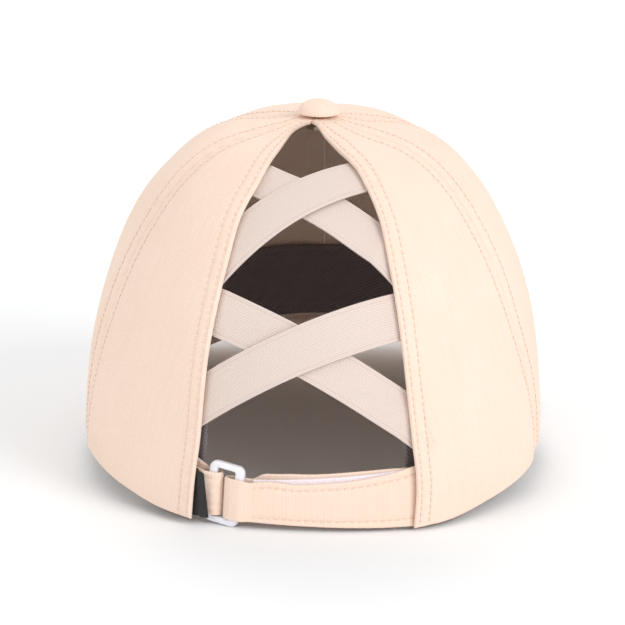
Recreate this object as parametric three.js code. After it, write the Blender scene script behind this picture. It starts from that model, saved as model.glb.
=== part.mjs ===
// A ponytail baseball cap in millimetres, +Z up, with its front towards -Y and its left towards +X.
// Six cloth panels make the crown. The two at the back leave a tall opening, which crossed elastic
// straps span, and a cloth strap closes the rim below it through a plastic ring.
// The cap is modelled with its rim level and is then turned so that it rests on its brim and its back edge.
import * as THREE from "three";

// Crown
const crown = {
  width: 168,
  length: 194,
  height: 119,
  wall: 1.4,
  backFullness: 2.8, // how square the side profile is behind, where 2 is an ellipse
  frontFullness: 3.1,
  topRoundness: 1.95,
  shoulderSag: 1.8, // how far the cloth sinks between the button and the shoulders
  seamDepth: 0.9,
  seamHalfWidth: 6,
  seamBevel: 1.1, // how far each seam leans across the thickness of the cloth
  hemWidth: 9,
  hemWall: 2.1,
  tipHole: 2.6, // radius left open under the button, where the six tips meet
};
const clearance = 0.3; // between neighbouring pieces

// How high the rim runs above its level, as a share of its lift at the centre front, by bearing from the
// centre back, positive to the left.
const rimLift = 15;
const rimRun = [
  { bearing: -180, lift: 1 },
  { bearing: -160, lift: 0.867 },
  { bearing: -145, lift: 0.587 },
  { bearing: -130, lift: 0.267 },
  { bearing: -115, lift: 0.067 },
  { bearing: -95, lift: 0 },
  { bearing: -70, lift: -0.027 },
  { bearing: -50, lift: -0.173 },
  { bearing: -35, lift: -0.307 },
  { bearing: 0, lift: -0.293 },
  { bearing: 35, lift: -0.213 },
  { bearing: 50, lift: -0.06 },
  { bearing: 70, lift: 0.027 },
  { bearing: 95, lift: 0.027 },
  { bearing: 115, lift: 0.067 },
  { bearing: 130, lift: 0.267 },
  { bearing: 145, lift: 0.587 },
  { bearing: 160, lift: 0.867 },
  { bearing: 180, lift: 1 },
];

// Where the seams and the opening's two edges run, as bearings by the share of the way up to the button.
// The opening leans to the left at its top.
const seamRun = [
  { rise: 0, left: 27.4, right: -27.4, rear: 79, fore: 128 },
  { rise: 0.06, left: 26.8, right: -27.8, rear: 77, fore: 128 },
  { rise: 0.12, left: 25.9, right: -26.9, rear: 74.5, fore: 127 },
  { rise: 0.25, left: 25.8, right: -25.8, rear: 68, fore: 125 },
  { rise: 0.4, left: 25.5, right: -25.2, rear: 66, fore: 122 },
  { rise: 0.5, left: 25.7, right: -25.5, rear: 66, fore: 121 },
  { rise: 0.6, left: 24.2, right: -24.2, rear: 66, fore: 120.5 },
  { rise: 0.68, left: 24.8, right: -22.4, rear: 66, fore: 120 },
  { rise: 0.76, left: 26.2, right: -17.2, rear: 65, fore: 120 },
  { rise: 0.82, left: 29.5, right: -13, rear: 63, fore: 120 },
  { rise: 0.87, left: 34, right: -7.5, rear: 61.5, fore: 120 },
  { rise: 1, left: 40, right: 6, rear: 60, fore: 120 },
];
const openingTop = 0.94; // share of the rise at which the opening closes

// Brim
const brim = {
  reach: 70,
  thickness: 4,
  halfSpan: 64, // degrees of the rim, each side of the centre front, that it is sewn to
  arch: 15,
  slope: 0.12,
  fan: 0.55, // 0 runs every section straight forward, 1 square to the rim
  thinEnds: 0.15, // share of the span over which each end thins to a third
};
const brimCut = [
  { across: 0, reach: 1 },
  { across: 0.25, reach: 0.99 },
  { across: 0.5, reach: 0.94 },
  { across: 0.75, reach: 0.71 },
  { across: 0.9, reach: 0.4 },
  { across: 1, reach: 0.03 },
];

// Sweatband
const sweatband = {
  height: 30,
  thickness: 1.2,
  rimGap: 1.6,
  endBearing: 28.3,
  endInset: 8.8, // how far in its ends lie, to pass behind the sewn-in straps
  insetFrom: 34,
  insetTo: 48,
};

// Button
const button = { radius: 7.6, height: 5, seat: 0.9 };
const stud = { radius: 1.4, headRadius: 4.2, headHeight: 1.2, headDrop: 3.4 };

// Crossed elastic straps, by the bearing and the rise where their middle meets each edge of the opening
const elastic = { width: 16, thickness: 1.1, tuck: 8, crossingDip: 1.9 };
const crossings = [
  { name: "cross_strap_upper_outer", left: [26, 0.443], right: [-22, 0.653], dips: false },
  { name: "cross_strap_upper_inner", left: [26, 0.628], right: [-25, 0.45], dips: true },
  { name: "cross_strap_lower_outer", left: [25.8, 0.176], right: [-25.2, 0.312], dips: false },
  { name: "cross_strap_lower_inner", left: [25.6, 0.309], right: [-26.5, 0.157], dips: true },
];

// Closure at the rim
const closure = {
  rootWidth: 19.5, // of the strap where it leaves the right panel
  tipWidth: 14.8, // of the strap where it folds round the ring
  tabWidth: 15.4,
  ply: 1.1,
  patch: 0.9, // thickness of the fastening between the strap's two plies
  patchFrom: 0.5, // where it starts and ends, as shares of the opening's half width
  patchTo: -0.8,
  patchBottom: 3.4,
  patchNarrower: 2.2, // than the strap
  flatten: 5, // how much straighter than the rim the strap runs
  tuck: 8,
  innerEnd: -0.84, // where the strap's inner ply ends, likewise
  innerLift: 2.6, // how much higher the strap's inner ply lies than its outer ply
};
const ring = {
  fromEdge: 10, // from the opening's left edge to the ring's middle
  width: 13,
  height: 22,
  bar: 3.1,
  rail: 2.3,
  thickness: 2.4,
  corner: 2.6,
};
// Heights above the rim of the middles of the strap's fold, of the ring and of the tab's fold
const foldHeights = { strap: 8.2, ring: 9, tab: 9.6 };
const label = { width: 5, height: 17.5, thickness: 0.8, standOff: 1.2, slant: 2, lift: 0.6 };

const degrees = Math.PI / 180;
const halfWidth = crown.width / 2;
const halfLength = crown.length / 2;

// A smooth value from a table of rows, which lists a rising key and named columns.
function fromTable(table, key, column, at) {
  const last = table.length - 1;
  let i = 0;
  while (i < last - 1 && at > table[i + 1][key]) i++;
  const slope = (k) => {
    const before = table[Math.max(k - 1, 0)];
    const after = table[Math.min(k + 1, last)];
    return (after[column] - before[column]) / (after[key] - before[key]);
  };
  const span = table[i + 1][key] - table[i][key];
  const t = THREE.MathUtils.clamp((at - table[i][key]) / span, 0, 1);
  const rest = 1 - t;
  return (
    table[i][column] * (1 + 2 * t) * rest * rest +
    table[i + 1][column] * (3 - 2 * t) * t * t +
    slope(i) * span * t * rest * rest -
    slope(i + 1) * span * rest * t * t
  );
}

const rimHeight = (bearing) => rimLift * fromTable(rimRun, "bearing", "lift", bearing);
const rear = (rise) => fromTable(seamRun, "rise", "rear", rise);
const fore = (rise) => fromTable(seamRun, "rise", "fore", rise);

// The outline of the crown in a plane through the button: how far out and how far up, as shares.
function profile(bearing, rise) {
  const front = (1 - Math.cos(bearing * degrees)) / 2;
  const fullness = THREE.MathUtils.lerp(crown.backFullness, crown.frontFullness, front);
  const turn = (Math.PI / 2) * (1 - Math.pow(1 - rise, fullness / 2));
  const out = Math.pow(Math.max(Math.cos(turn), 0), 2 / fullness);
  return { out, up: Math.pow(Math.sin(turn), 2 / crown.topRoundness), fullness };
}

// The valley that the stitched seams pull into the cloth.
function seamValley(bearing, rise, out) {
  const around = Math.abs(bearing);
  const seams = [rear(rise), fore(rise), 180];
  const nearest = Math.min(...seams.map((seam) => Math.abs(seam - around)));
  const away = (nearest * degrees * halfWidth * out) / crown.seamHalfWidth;
  return crown.seamDepth * Math.exp(-away * away) * Math.min(1, out * 3);
}

// A point of the crown's cloth, a given depth inside its outer face.
function crownPoint(bearing, rise, inward = 0) {
  const { out, up, fullness } = profile(bearing, rise);
  const s = Math.sin(bearing * degrees);
  const c = Math.cos(bearing * degrees);
  const sag = crown.shoulderSag * 9.5 * out * Math.pow(1 - out, 3);
  const point = new THREE.Vector3(
    halfWidth * s * out,
    halfLength * c * out,
    crown.height * up - sag + rimHeight(bearing) * (1 - rise) ** 2,
  );
  const normal = new THREE.Vector3(
    (s / halfWidth) * Math.pow(out, fullness - 1) * fullness,
    (c / halfLength) * Math.pow(out, fullness - 1) * fullness,
    (crown.topRoundness * Math.pow(up, crown.topRoundness - 1)) / crown.height,
  ).normalize();
  return point.addScaledVector(normal, -inward - seamValley(bearing, rise, out));
}

// The crown's cloth along a ray from the middle of the rim through a target.
function onCrown(target, inward) {
  const bearing = Math.atan2(target.x / halfWidth, target.y / halfLength) / degrees;
  const steepness = (p) => p.z / Math.hypot(p.x, p.y);
  let low = 0;
  let high = 0.99;
  for (let i = 0; i < 30; i++) {
    const rise = (low + high) / 2;
    if (steepness(crownPoint(bearing, rise, inward)) < steepness(target)) low = rise;
    else high = rise;
  }
  return crownPoint(bearing, low, inward);
}

// A closed solid from rings of points: each ring is one cross-section, listed the same way round.
function loft(rings) {
  const around = rings[0].length;
  const positions = rings.flat().flatMap((p) => [p.x, p.y, p.z]);
  const index = [];
  for (let i = 0; i < rings.length - 1; i++) {
    for (let j = 0; j < around; j++) {
      const a = i * around + j;
      const b = i * around + ((j + 1) % around);
      index.push(a, b, a + around, b, b + around, a + around);
    }
  }
  const capEnd = (first, flip) => {
    const half = around / 2;
    for (let j = 0; j < half - 1; j++) {
      const quad = [j, j + 1, around - 2 - j, around - 1 - j].map((k) => first + k);
      const faces = [quad[0], quad[2], quad[1], quad[0], quad[3], quad[2]];
      if (flip) faces.reverse();
      index.push(...faces);
    }
  };
  capEnd(0, false);
  capEnd((rings.length - 1) * around, true);
  return closed(positions, index);
}

// Turns the faces outwards and returns the geometry.
function closed(positions, index) {
  let volume = 0;
  const at = (k) => new THREE.Vector3().fromArray(positions, index[k] * 3);
  for (let k = 0; k < index.length; k += 3) {
    volume += at(k).dot(at(k + 1).cross(at(k + 2)));
  }
  if (volume < 0) index.reverse();
  const geometry = new THREE.BufferGeometry();
  geometry.setAttribute("position", new THREE.Float32BufferAttribute(positions, 3));
  geometry.setIndex(index);
  geometry.computeVertexNormals();
  return geometry;
}

const evenly = (count) => Array.from({ length: count + 1 }, (_, i) => i / count);

// Panels. Shares across a panel, closer together beside its seams, and shares up it.
const across = [0, 0.035, 0.07, 0.11, 0.2, 0.32, 0.44, 0.56, 0.68, 0.8, 0.89, 0.93, 0.965, 1];
const panelRows = 17;

// An edge of the ponytail opening: it follows the table and closes in a round arch at the top.
function openingEdge(column, rise) {
  const at = Math.min(rise, openingTop);
  const left = fromTable(seamRun, "rise", "left", at);
  const right = fromTable(seamRun, "rise", "right", at);
  const short = 1 - Math.min(1, (openingTop - at) / (1 - openingTop));
  const arch = Math.sqrt(1 - short ** 2);
  return (left + right) / 2 + (column === "left" ? 1 : -1) * ((left - right) / 2) * arch;
}
const leftEdge = (rise) => openingEdge("left", rise);
const rightEdge = (rise) => openingEdge("right", rise);

// One panel, a wall of cloth between two lines that are given as functions from rise to bearing.
// A seam leans across the wall, and a hem is square and thicker.
const topRow = 1 - crown.tipHole / halfWidth / 1.38;
function panel(from, to, hem = "none") {
  const rings = evenly(panelRows).map((share) => {
    const rise = share * topRow;
    const around = halfWidth * profile(90, rise).out * degrees; // length of a degree
    const inset = clearance / 2 / around;
    const bevel = crown.seamBevel / around;
    const start = from(rise) + inset;
    const end = to(rise) - inset;
    const innerStart = hem === "start" ? start : start + bevel;
    const innerEnd = hem === "end" ? end : end + bevel;
    const hemShare = Math.min(crown.hemWidth / (end - start) / around, 0.5);
    const outer = across.map((u) => crownPoint(THREE.MathUtils.lerp(start, end, u), rise));
    const inner = across.map((u) => {
      const hemmed = (hem === "start" && u < hemShare) || (hem === "end" && 1 - u < hemShare);
      const bearing = THREE.MathUtils.lerp(innerStart, innerEnd, u);
      return crownPoint(bearing, rise, hemmed ? crown.hemWall : crown.wall);
    });
    return [...outer, ...inner.reverse()];
  });
  return loft(rings);
}

// The brim, a bent board that follows the rim and runs out from under it.
function brimPoint(share, outward, depth) {
  const bearing = 180 + share * brim.halfSpan;
  const rimAt = bearing > 180 ? bearing - 360 : bearing;
  const root = crownPoint(rimAt, 0, crown.wall);
  const temple = halfWidth * Math.sin(brim.halfSpan * degrees);
  const square = new THREE.Vector3(root.x / halfWidth ** 2, root.y / halfLength ** 2, 0).normalize();
  const along = new THREE.Vector3(0, -1, 0).lerp(square, brim.fan).normalize();
  const thin = THREE.MathUtils.smoothstep(1 - Math.abs(share), 0, brim.thinEnds);
  const reach = crown.wall + brim.reach * fromTable(brimCut, "across", "reach", Math.abs(share));
  const p = root.clone().addScaledVector(along, reach * outward);
  p.z = root.z - clearance - depth * (1 + 2 * thin) / 3
    + (brim.arch * (root.x ** 2 - p.x ** 2)) / temple ** 2
    - brim.slope * (root.y - p.y);
  return p;
}

function brimSolid() {
  const outwards = [0, 0.22, 0.45, 0.68, 0.88, 0.975, 1];
  const edge = 0.3; // share of the thickness taken off each side at the rounded outer edge
  const rings = evenly(36).map((u) => {
    const share = 2 * u - 1;
    const top = outwards.map((t) => brimPoint(share, t, t === 1 ? edge * brim.thickness : 0));
    const under = outwards.map((t) =>
      brimPoint(share, t, t === 1 ? (1 - edge) * brim.thickness : brim.thickness));
    return [...top, ...under.reverse()];
  });
  return loft(rings);
}

// The sweatband, from one end of the opening round the front to the other.
function sweatbandSolid() {
  const rings = evenly(56).map((u) => {
    const bearing = THREE.MathUtils.lerp(sweatband.endBearing, 360 - sweatband.endBearing, u);
    const rimAt = bearing > 180 ? bearing - 360 : bearing;
    const blend = THREE.MathUtils.smoothstep(
      Math.abs(rimAt), sweatband.insetFrom, sweatband.insetTo);
    const inset = THREE.MathUtils.lerp(sweatband.endInset, crown.wall + 2 * clearance, blend);
    const riseAt = (height) => height / crown.height / 1.9;
    const rises = [sweatband.rimGap, sweatband.height / 2, sweatband.height].map(riseAt);
    const face = (depth) => rises.map((rise) => crownPoint(rimAt, rise, inset + depth));
    return [...face(0), ...face(sweatband.thickness).reverse()];
  });
  return loft(rings);
}

// One elastic strap, along the shortest way over the crown between two points of the opening's edges.
function elasticStrap({ left, right, dips }) {
  const start = crownPoint(...left);
  const end = crownPoint(...right);
  const a = start.clone().normalize();
  const b = end.clone().normalize();
  const angle = a.angleTo(b);
  const tuck = elastic.tuck / (start.length() * angle);
  const widthwise = a.clone().cross(b).normalize();
  const rest = crown.hemWall + clearance;
  const rings = evenly(22).map((u) => {
    const share = THREE.MathUtils.lerp(-tuck, 1 + tuck, u);
    const way = a.clone().multiplyScalar(Math.sin((1 - share) * angle))
      .addScaledVector(b, Math.sin(share * angle));
    const middle = onCrown(way, 0);
    const between = THREE.MathUtils.clamp(share, 0, 1);
    const dip = dips ? elastic.crossingDip * (1 - (2 * between - 1) ** 4) : 0;
    const face = (depth) => [-1, 0, 1].map((side) => {
      const target = middle.clone().addScaledVector(widthwise, (side * elastic.width) / 2);
      return onCrown(target, rest + dip + depth);
    });
    return [...face(0), ...face(elastic.thickness).reverse()];
  });
  return loft(rings);
}

// A band of cloth through stations that give the middle of its lower edge and of its upper edge.
function band(stations, thickness) {
  const rings = stations.map(({ low, high }, i) => {
    const before = stations[Math.max(i - 1, 0)].low;
    const after = stations[Math.min(i + 1, stations.length - 1)].low;
    const side = after.clone().sub(before).cross(high.clone().sub(low)).setLength(thickness / 2);
    return [
      low.clone().add(side),
      high.clone().add(side),
      high.clone().sub(side),
      low.clone().sub(side),
    ];
  });
  return loft(rings);
}

// The sheet along which the closure runs: the crown's own, carried across the opening and drawn tight.
const edgeX = halfWidth * Math.sin(leftEdge(0) * degrees);
const ringX = edgeX - ring.fromEdge;
function closurePoint(x, height, inward) {
  const turn = Math.asin(Math.pow(Math.max(height, 0) / crown.height, crown.topRoundness / 2));
  const rise = 1 - Math.pow(1 - turn / (Math.PI / 2), 2 / crown.backFullness);
  const tight = closure.flatten * Math.max(0, 1 - (x / edgeX) ** 2);
  return crownPoint(Math.asin(x / halfWidth) / degrees, rise, inward + tight);
}

const foldRadius = ring.thickness / 2 + clearance + closure.ply / 2;
const strapInset = crown.hemWall + clearance + closure.ply / 2;
const strapWidth = (x) =>
  THREE.MathUtils.mapLinear(x, -edgeX, ringX, closure.rootWidth, closure.tipWidth);

// The ring's place and its own directions: along the rim, up, and out of the cap.
const ringCentre = closurePoint(ringX, foldHeights.ring, strapInset + foldRadius);
const ringOut = closurePoint(ringX, foldHeights.ring, 0).sub(closurePoint(ringX, foldHeights.ring, 1));
const ringAlong = closurePoint(ringX + 1, foldHeights.ring, 0)
  .sub(closurePoint(ringX - 1, foldHeights.ring, 0));
const ringUp = ringAlong.clone().cross(ringOut).normalize();
ringOut.normalize();
ringAlong.crossVectors(ringOut, ringUp);

// Stations of a fold round one of the ring's upright bars, from its outer face to its inner face.
const foldReach = ring.width / 2 + clearance; // how far from the ring's middle the plies lie flat on it
function foldRound(side, width, height) {
  const turnPoint = ring.width / 2 - ring.bar + clearance / 2;
  const arc = evenly(8).map((u) => {
    const angle = Math.PI * (0.5 - u);
    return [turnPoint - foldRadius * Math.cos(angle), foldRadius * Math.sin(angle)];
  });
  return [[foldReach, foldRadius], ...arc, [foldReach, -foldRadius]].map(([along, out]) => {
    const middle = ringCentre.clone()
      .addScaledVector(ringAlong, side * along)
      .addScaledVector(ringOut, out)
      .addScaledVector(ringUp, height - foldHeights.ring);
    return {
      low: middle.clone().addScaledVector(ringUp, -width / 2),
      high: middle.clone().addScaledVector(ringUp, width / 2),
    };
  });
}

function closureStation(x, inward, bottom, width) {
  return { low: closurePoint(x, bottom, inward), high: closurePoint(x, bottom + width, inward) };
}

// The strap comes out from under the right panel, folds round the ring and comes back inside itself.
const foldBottom = foldHeights.strap - closure.tipWidth / 2;
function closureStrap() {
  const foldStart = ringX - foldReach - 1.5;
  const bottom = (x) => THREE.MathUtils.mapLinear(x, -edgeX, foldStart, 0, foldBottom);
  const outer = evenly(16).map((u) => {
    const x = THREE.MathUtils.lerp(-edgeX - closure.tuck, foldStart, u);
    return closureStation(x, strapInset, Math.max(0, bottom(x)), strapWidth(x));
  });
  const settled = closure.ply + closure.patch + 2 * clearance;
  const inner = evenly(12).map((u) => {
    const x = THREE.MathUtils.lerp(foldStart, closure.innerEnd * edgeX, u);
    const spread = THREE.MathUtils.lerp(2 * foldRadius, settled, Math.min(1, 3 * u));
    const lift = closure.innerLift * Math.min(1, 4 * u);
    return closureStation(x, strapInset + spread, bottom(x) + lift, strapWidth(x));
  });
  const fold = foldRound(-1, closure.tipWidth, foldHeights.strap);
  return band([...outer, ...fold, ...inner], closure.ply);
}

function fasteningPatch() {
  const inward = strapInset + closure.ply / 2 + clearance + closure.patch / 2;
  const stations = evenly(8).map((u) => {
    const x = THREE.MathUtils.lerp(closure.patchFrom, closure.patchTo, u) * edgeX;
    return closureStation(x, inward, closure.patchBottom, strapWidth(x) - closure.patchNarrower);
  });
  return band(stations, closure.patch);
}

// The tab and the label come out from under the left panel and both step outwards before the ring.
const labelInset = crown.hemWall + clearance + label.thickness / 2;
const tabInset = labelInset + label.thickness / 2 + clearance + closure.ply / 2;
const foldEnd = ringX + foldReach + 0.5;
const hemX = halfWidth * Math.sin(leftEdge(0.07) * degrees) - clearance;
const pastHem = (x) => THREE.MathUtils.clamp((hemX - x) / (hemX - foldEnd), 0, 1);

function closureTab() {
  const sewnEnd = edgeX + closure.tuck;
  const bottom = foldHeights.tab - closure.tabWidth / 2;
  const stationAt = (x, inward) => closureStation(x, inward, bottom, closure.tabWidth);
  const outer = [sewnEnd, (sewnEnd + hemX) / 2, hemX, (hemX + foldEnd) / 2, foldEnd].map((x) =>
    stationAt(x, THREE.MathUtils.lerp(tabInset, strapInset, pastHem(x))));
  const inner = [foldEnd, (foldEnd + hemX) / 2, hemX, (hemX + sewnEnd) / 2, sewnEnd].map((x) => {
    const sewn = tabInset + closure.ply + clearance;
    const spread = THREE.MathUtils.clamp((sewnEnd - x) / (sewnEnd - foldEnd), 0, 1);
    return stationAt(x, THREE.MathUtils.lerp(sewn, strapInset + 2 * foldRadius, spread));
  });
  const fold = foldRound(1, closure.tabWidth, foldHeights.tab);
  return band([...outer, ...fold, ...inner], closure.ply);
}

// A flat oblong with rounded corners, drawn into a path.
function roundedOblong(path, width, height, corner) {
  const corners = [[1, -1], [1, 1], [-1, 1], [-1, -1]];
  corners.forEach(([sx, sy], i) => {
    const x = sx * (width / 2 - corner);
    const y = sy * (height / 2 - corner);
    const start = (i - 1) * (Math.PI / 2);
    path.absarc(x, y, corner, start, start + Math.PI / 2);
  });
  path.closePath();
  return path;
}

function closureRing() {
  const outline = roundedOblong(new THREE.Shape(), ring.width, ring.height, ring.corner);
  outline.holes.push(roundedOblong(
    new THREE.Path(), ring.width - 2 * ring.bar, ring.height - 2 * ring.rail, ring.corner / 4));
  const geometry = new THREE.ExtrudeGeometry(outline, {
    depth: ring.thickness,
    bevelEnabled: false,
    curveSegments: 5,
  });
  return geometry.translate(0, 0, -ring.thickness / 2);
}

// The label is a folded tag that lies over the tab.
function sideLabel() {
  const root = edgeX + 1.5; // where it is caught in the seam
  const tip = edgeX - label.width;
  const places = [root, (root + hemX) / 2, hemX, (hemX + foldEnd) / 2, foldEnd, (foldEnd + tip) / 2, tip];
  const stations = places.map((x) => {
    const inward = labelInset - label.standOff * pastHem(x);
    const width = label.height - label.slant * (root - x) / (root - tip);
    return closureStation(x, inward, label.lift, width);
  });
  return band(stations, label.thickness);
}

// A solid turned about the upright axis.
const turnedSolid = (outline, sides) => new THREE.LatheGeometry(outline, sides).rotateX(Math.PI / 2);

// The button, a low dome of covered metal, and the stud that holds it through the crown.
function buttonDome() {
  const { radius, height, seat } = button;
  const socket = stud.radius + clearance;
  const shoulder = evenly(8).map((u) => {
    const turn = (u * Math.PI) / 2;
    return new THREE.Vector2(radius * Math.cos(turn), seat + (height - seat) * Math.sin(turn));
  });
  shoulder[shoulder.length - 1].x = 0;
  return turnedSolid([
    new THREE.Vector2(0, height / 2 + clearance),
    new THREE.Vector2(socket, height / 2 + clearance),
    new THREE.Vector2(socket, 0),
    new THREE.Vector2(radius * 0.93, 0),
    ...shoulder,
  ], 28);
}

function buttonStud() {
  const under = stud.headDrop;
  return turnedSolid([
    new THREE.Vector2(0, -under - stud.headHeight),
    new THREE.Vector2(stud.headRadius, -under - stud.headHeight),
    new THREE.Vector2(stud.headRadius, -under),
    new THREE.Vector2(stud.radius, -under),
    new THREE.Vector2(stud.radius, button.height / 2),
    new THREE.Vector2(0, button.height / 2),
  ], 20);
}

const peachCloth = { color: 0xf9dcc6, roughness: 0.85, metalness: 0 };
const pinkElastic = { color: 0xe9dad1, roughness: 0.8, metalness: 0 };
const greyBand = { color: 0x55504f, roughness: 0.9, metalness: 0 };
const blackTag = { color: 0x1d1c1c, roughness: 0.7, metalness: 0 };
const whitePlastic = { color: 0xf2f2f7, roughness: 0.4, metalness: 0 };
const whiteFastening = { color: 0xeee4ea, roughness: 0.95, metalness: 0 };
const studMetal = { color: 0xb9b2a6, roughness: 0.35, metalness: 1 };

const cap = new THREE.Group();
function add(name, geometry, finish) {
  const mesh = new THREE.Mesh(geometry, new THREE.MeshStandardMaterial(finish));
  mesh.name = name;
  cap.add(mesh);
  return mesh;
}

add("crown_back_left", panel(leftEdge, rear, "start"), peachCloth);
add("crown_back_right", panel((r) => -rear(r), rightEdge, "end"), peachCloth);
add("crown_side_left", panel(rear, fore), peachCloth);
add("crown_side_right", panel((r) => -fore(r), (r) => -rear(r)), peachCloth);
add("crown_front_left", panel(fore, () => 180), peachCloth);
add("crown_front_right", panel(() => -180, (r) => -fore(r)), peachCloth);
add("brim", brimSolid(), peachCloth);
add("sweatband", sweatbandSolid(), greyBand);

const crownTop = crownPoint(0, 1).z;
add("top_button", buttonDome(), peachCloth).position.z = crownTop + clearance;
add("button_stud", buttonStud(), studMetal).position.z = crownTop;

for (const crossing of crossings) add(crossing.name, elasticStrap(crossing), pinkElastic);

add("closure_strap", closureStrap(), peachCloth);
add("closure_tab", closureTab(), peachCloth);
add("fastening_patch", fasteningPatch(), whiteFastening);
add("side_label", sideLabel(), blackTag);
const ringMesh = add("closure_ring", closureRing(), whitePlastic);
const ringInward = ringOut.clone().negate();
ringMesh.applyMatrix4(new THREE.Matrix4().makeBasis(ringAlong, ringUp, ringInward).setPosition(ringCentre));

// Sets the cap down: turns it about X until the brim and the back of the rim touch the ground together,
// and puts the origin at the bottom centre of its box.
function setDown(group) {
  const outline = [];
  const at = new THREE.Vector3();
  group.updateMatrixWorld(true);
  group.traverse((mesh) => {
    if (!mesh.isMesh) return;
    const positions = mesh.geometry.getAttribute("position");
    for (let i = 0; i < positions.count; i++) {
      outline.push(at.fromBufferAttribute(positions, i).applyMatrix4(mesh.matrixWorld).clone());
    }
  });
  const lowest = (points, tilt) =>
    Math.min(...points.map((p) => p.y * Math.sin(tilt) + p.z * Math.cos(tilt)));
  const front = outline.filter((p) => p.y < 0);
  const back = outline.filter((p) => p.y >= 0);
  let low = -30 * degrees;
  let high = 0;
  for (let i = 0; i < 30; i++) {
    const tilt = (low + high) / 2;
    if (lowest(front, tilt) > lowest(back, tilt)) low = tilt;
    else high = tilt;
  }
  group.rotation.x = low;
  const turned = new THREE.Euler(low, 0, 0);
  const box = new THREE.Box3().setFromPoints(outline.map((p) => p.applyEuler(turned)));
  group.position.set(-(box.min.x + box.max.x) / 2, -(box.min.y + box.max.y) / 2, -box.min.z);
}
setDown(cap);

const model = new THREE.Group();
model.add(cap);
export default model;
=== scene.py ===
import math

import bpy
import numpy as np
from mathutils import Matrix, Vector


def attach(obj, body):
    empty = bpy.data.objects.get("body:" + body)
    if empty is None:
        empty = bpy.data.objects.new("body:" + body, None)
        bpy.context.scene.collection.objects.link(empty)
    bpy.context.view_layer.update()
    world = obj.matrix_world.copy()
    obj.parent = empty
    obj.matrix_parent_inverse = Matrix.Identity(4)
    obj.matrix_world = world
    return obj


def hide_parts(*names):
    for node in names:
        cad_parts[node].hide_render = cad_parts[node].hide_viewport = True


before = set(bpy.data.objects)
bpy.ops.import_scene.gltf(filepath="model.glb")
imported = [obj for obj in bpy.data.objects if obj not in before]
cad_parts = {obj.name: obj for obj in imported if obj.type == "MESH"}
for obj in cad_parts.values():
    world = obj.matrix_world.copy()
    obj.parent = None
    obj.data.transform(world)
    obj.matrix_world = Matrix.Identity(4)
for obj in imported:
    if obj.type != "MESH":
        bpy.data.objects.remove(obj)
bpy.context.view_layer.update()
bpy.ops.object.select_all(action="DESELECT")
bpy.context.scene.view_settings.view_transform = "Standard"
print("frame loaded")

# The crown, with the same named sizes as its solids
crown = {
    "width": 168, "length": 194, "height": 119,
    "backFullness": 2.8, "frontFullness": 3.1, "topRoundness": 1.95,
    "shoulderSag": 1.8, "rimLift": 15, "seamDepth": 0.9, "seamReach": 6,
    "tipHole": 2.6, "openingTop": 0.94,
}
seating = {"tilt": -0.043275, "along": 38.2, "up": 9.778}  # radians, then millimetres
rimRun = np.array([
    (-180, 1), (-160, 0.867), (-145, 0.587), (-130, 0.267), (-115, 0.067), (-95, 0), (-70, -0.027),
    (-50, -0.173), (-35, -0.307), (0, -0.293), (35, -0.213), (50, -0.06), (70, 0.027), (95, 0.027),
    (115, 0.067), (130, 0.267), (145, 0.587), (160, 0.867), (180, 1),
])
# Share of the way up to the button, then the bearings of the opening's two edges and of two seams
seamRun = np.array([
    (0, 27.4, -27.4, 79, 128), (0.06, 26.8, -27.8, 77, 128), (0.12, 25.9, -26.9, 74.5, 127),
    (0.25, 25.8, -25.8, 68, 125), (0.4, 25.5, -25.2, 66, 122), (0.5, 25.7, -25.5, 66, 121),
    (0.6, 24.2, -24.2, 66, 120.5), (0.68, 24.8, -22.4, 66, 120), (0.76, 26.2, -17.2, 65, 120),
    (0.82, 29.5, -13, 63, 120), (0.87, 34, -7.5, 61.5, 120), (1, 40, 6, 60, 120),
])
halfWidth, halfLength = crown["width"] / 2, crown["length"] / 2
topRow = 1 - crown["tipHole"] / halfWidth / 1.38  # the row that ends at the button's hole


def alongTable(keys, values, at):  # a smooth run through the values of a table
    at = np.asarray(at, float)
    slope = np.empty(len(keys))
    slope[1:-1] = (values[2:] - values[:-2]) / (keys[2:] - keys[:-2])
    slope[0] = (values[1] - values[0]) / (keys[1] - keys[0])
    slope[-1] = (values[-1] - values[-2]) / (keys[-1] - keys[-2])
    i = np.clip(np.searchsorted(keys, at) - 1, 0, len(keys) - 2)
    span = keys[i + 1] - keys[i]
    t = np.clip((at - keys[i]) / span, 0, 1)
    rest = 1 - t
    return (values[i] * (1 + 2 * t) * rest**2 + values[i + 1] * (3 - 2 * t) * t**2
            + slope[i] * span * t * rest**2 - slope[i + 1] * span * rest * t**2)


def rimHeight(bearing):
    return crown["rimLift"] * alongTable(rimRun[:, 0], rimRun[:, 1], bearing)


def seamAt(column, rise):
    return alongTable(seamRun[:, 0], seamRun[:, column], rise)


def openingEdge(side, rise):  # side 1 is the wearer's left, -1 the right
    at = np.minimum(rise, crown["openingTop"])
    left, right = seamAt(1, at), seamAt(2, at)
    short = 1 - np.minimum(1, (crown["openingTop"] - at) / (1 - crown["openingTop"]))
    return (left + right) / 2 + side * (left - right) / 2 * np.sqrt(1 - short**2)


def profile(bearing, rise):  # share of the rim's radius and of the height, and how full the side is
    front = (1 - np.cos(np.radians(bearing))) / 2
    full = crown["backFullness"] + (crown["frontFullness"] - crown["backFullness"]) * front
    turn = math.pi / 2 * (1 - (1 - rise) ** (full / 2))
    out = np.maximum(np.cos(turn), 0) ** (2 / full)
    up = np.maximum(np.sin(turn), 0) ** (2 / crown["topRoundness"])
    return out, up, full


def degreeLength(bearing, rise):  # millimetres of cloth for one degree of bearing
    b = np.radians(bearing)
    radius = np.hypot(halfWidth * np.cos(b), halfLength * np.sin(b))
    return profile(bearing, rise)[0] * radius * math.pi / 180


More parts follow.
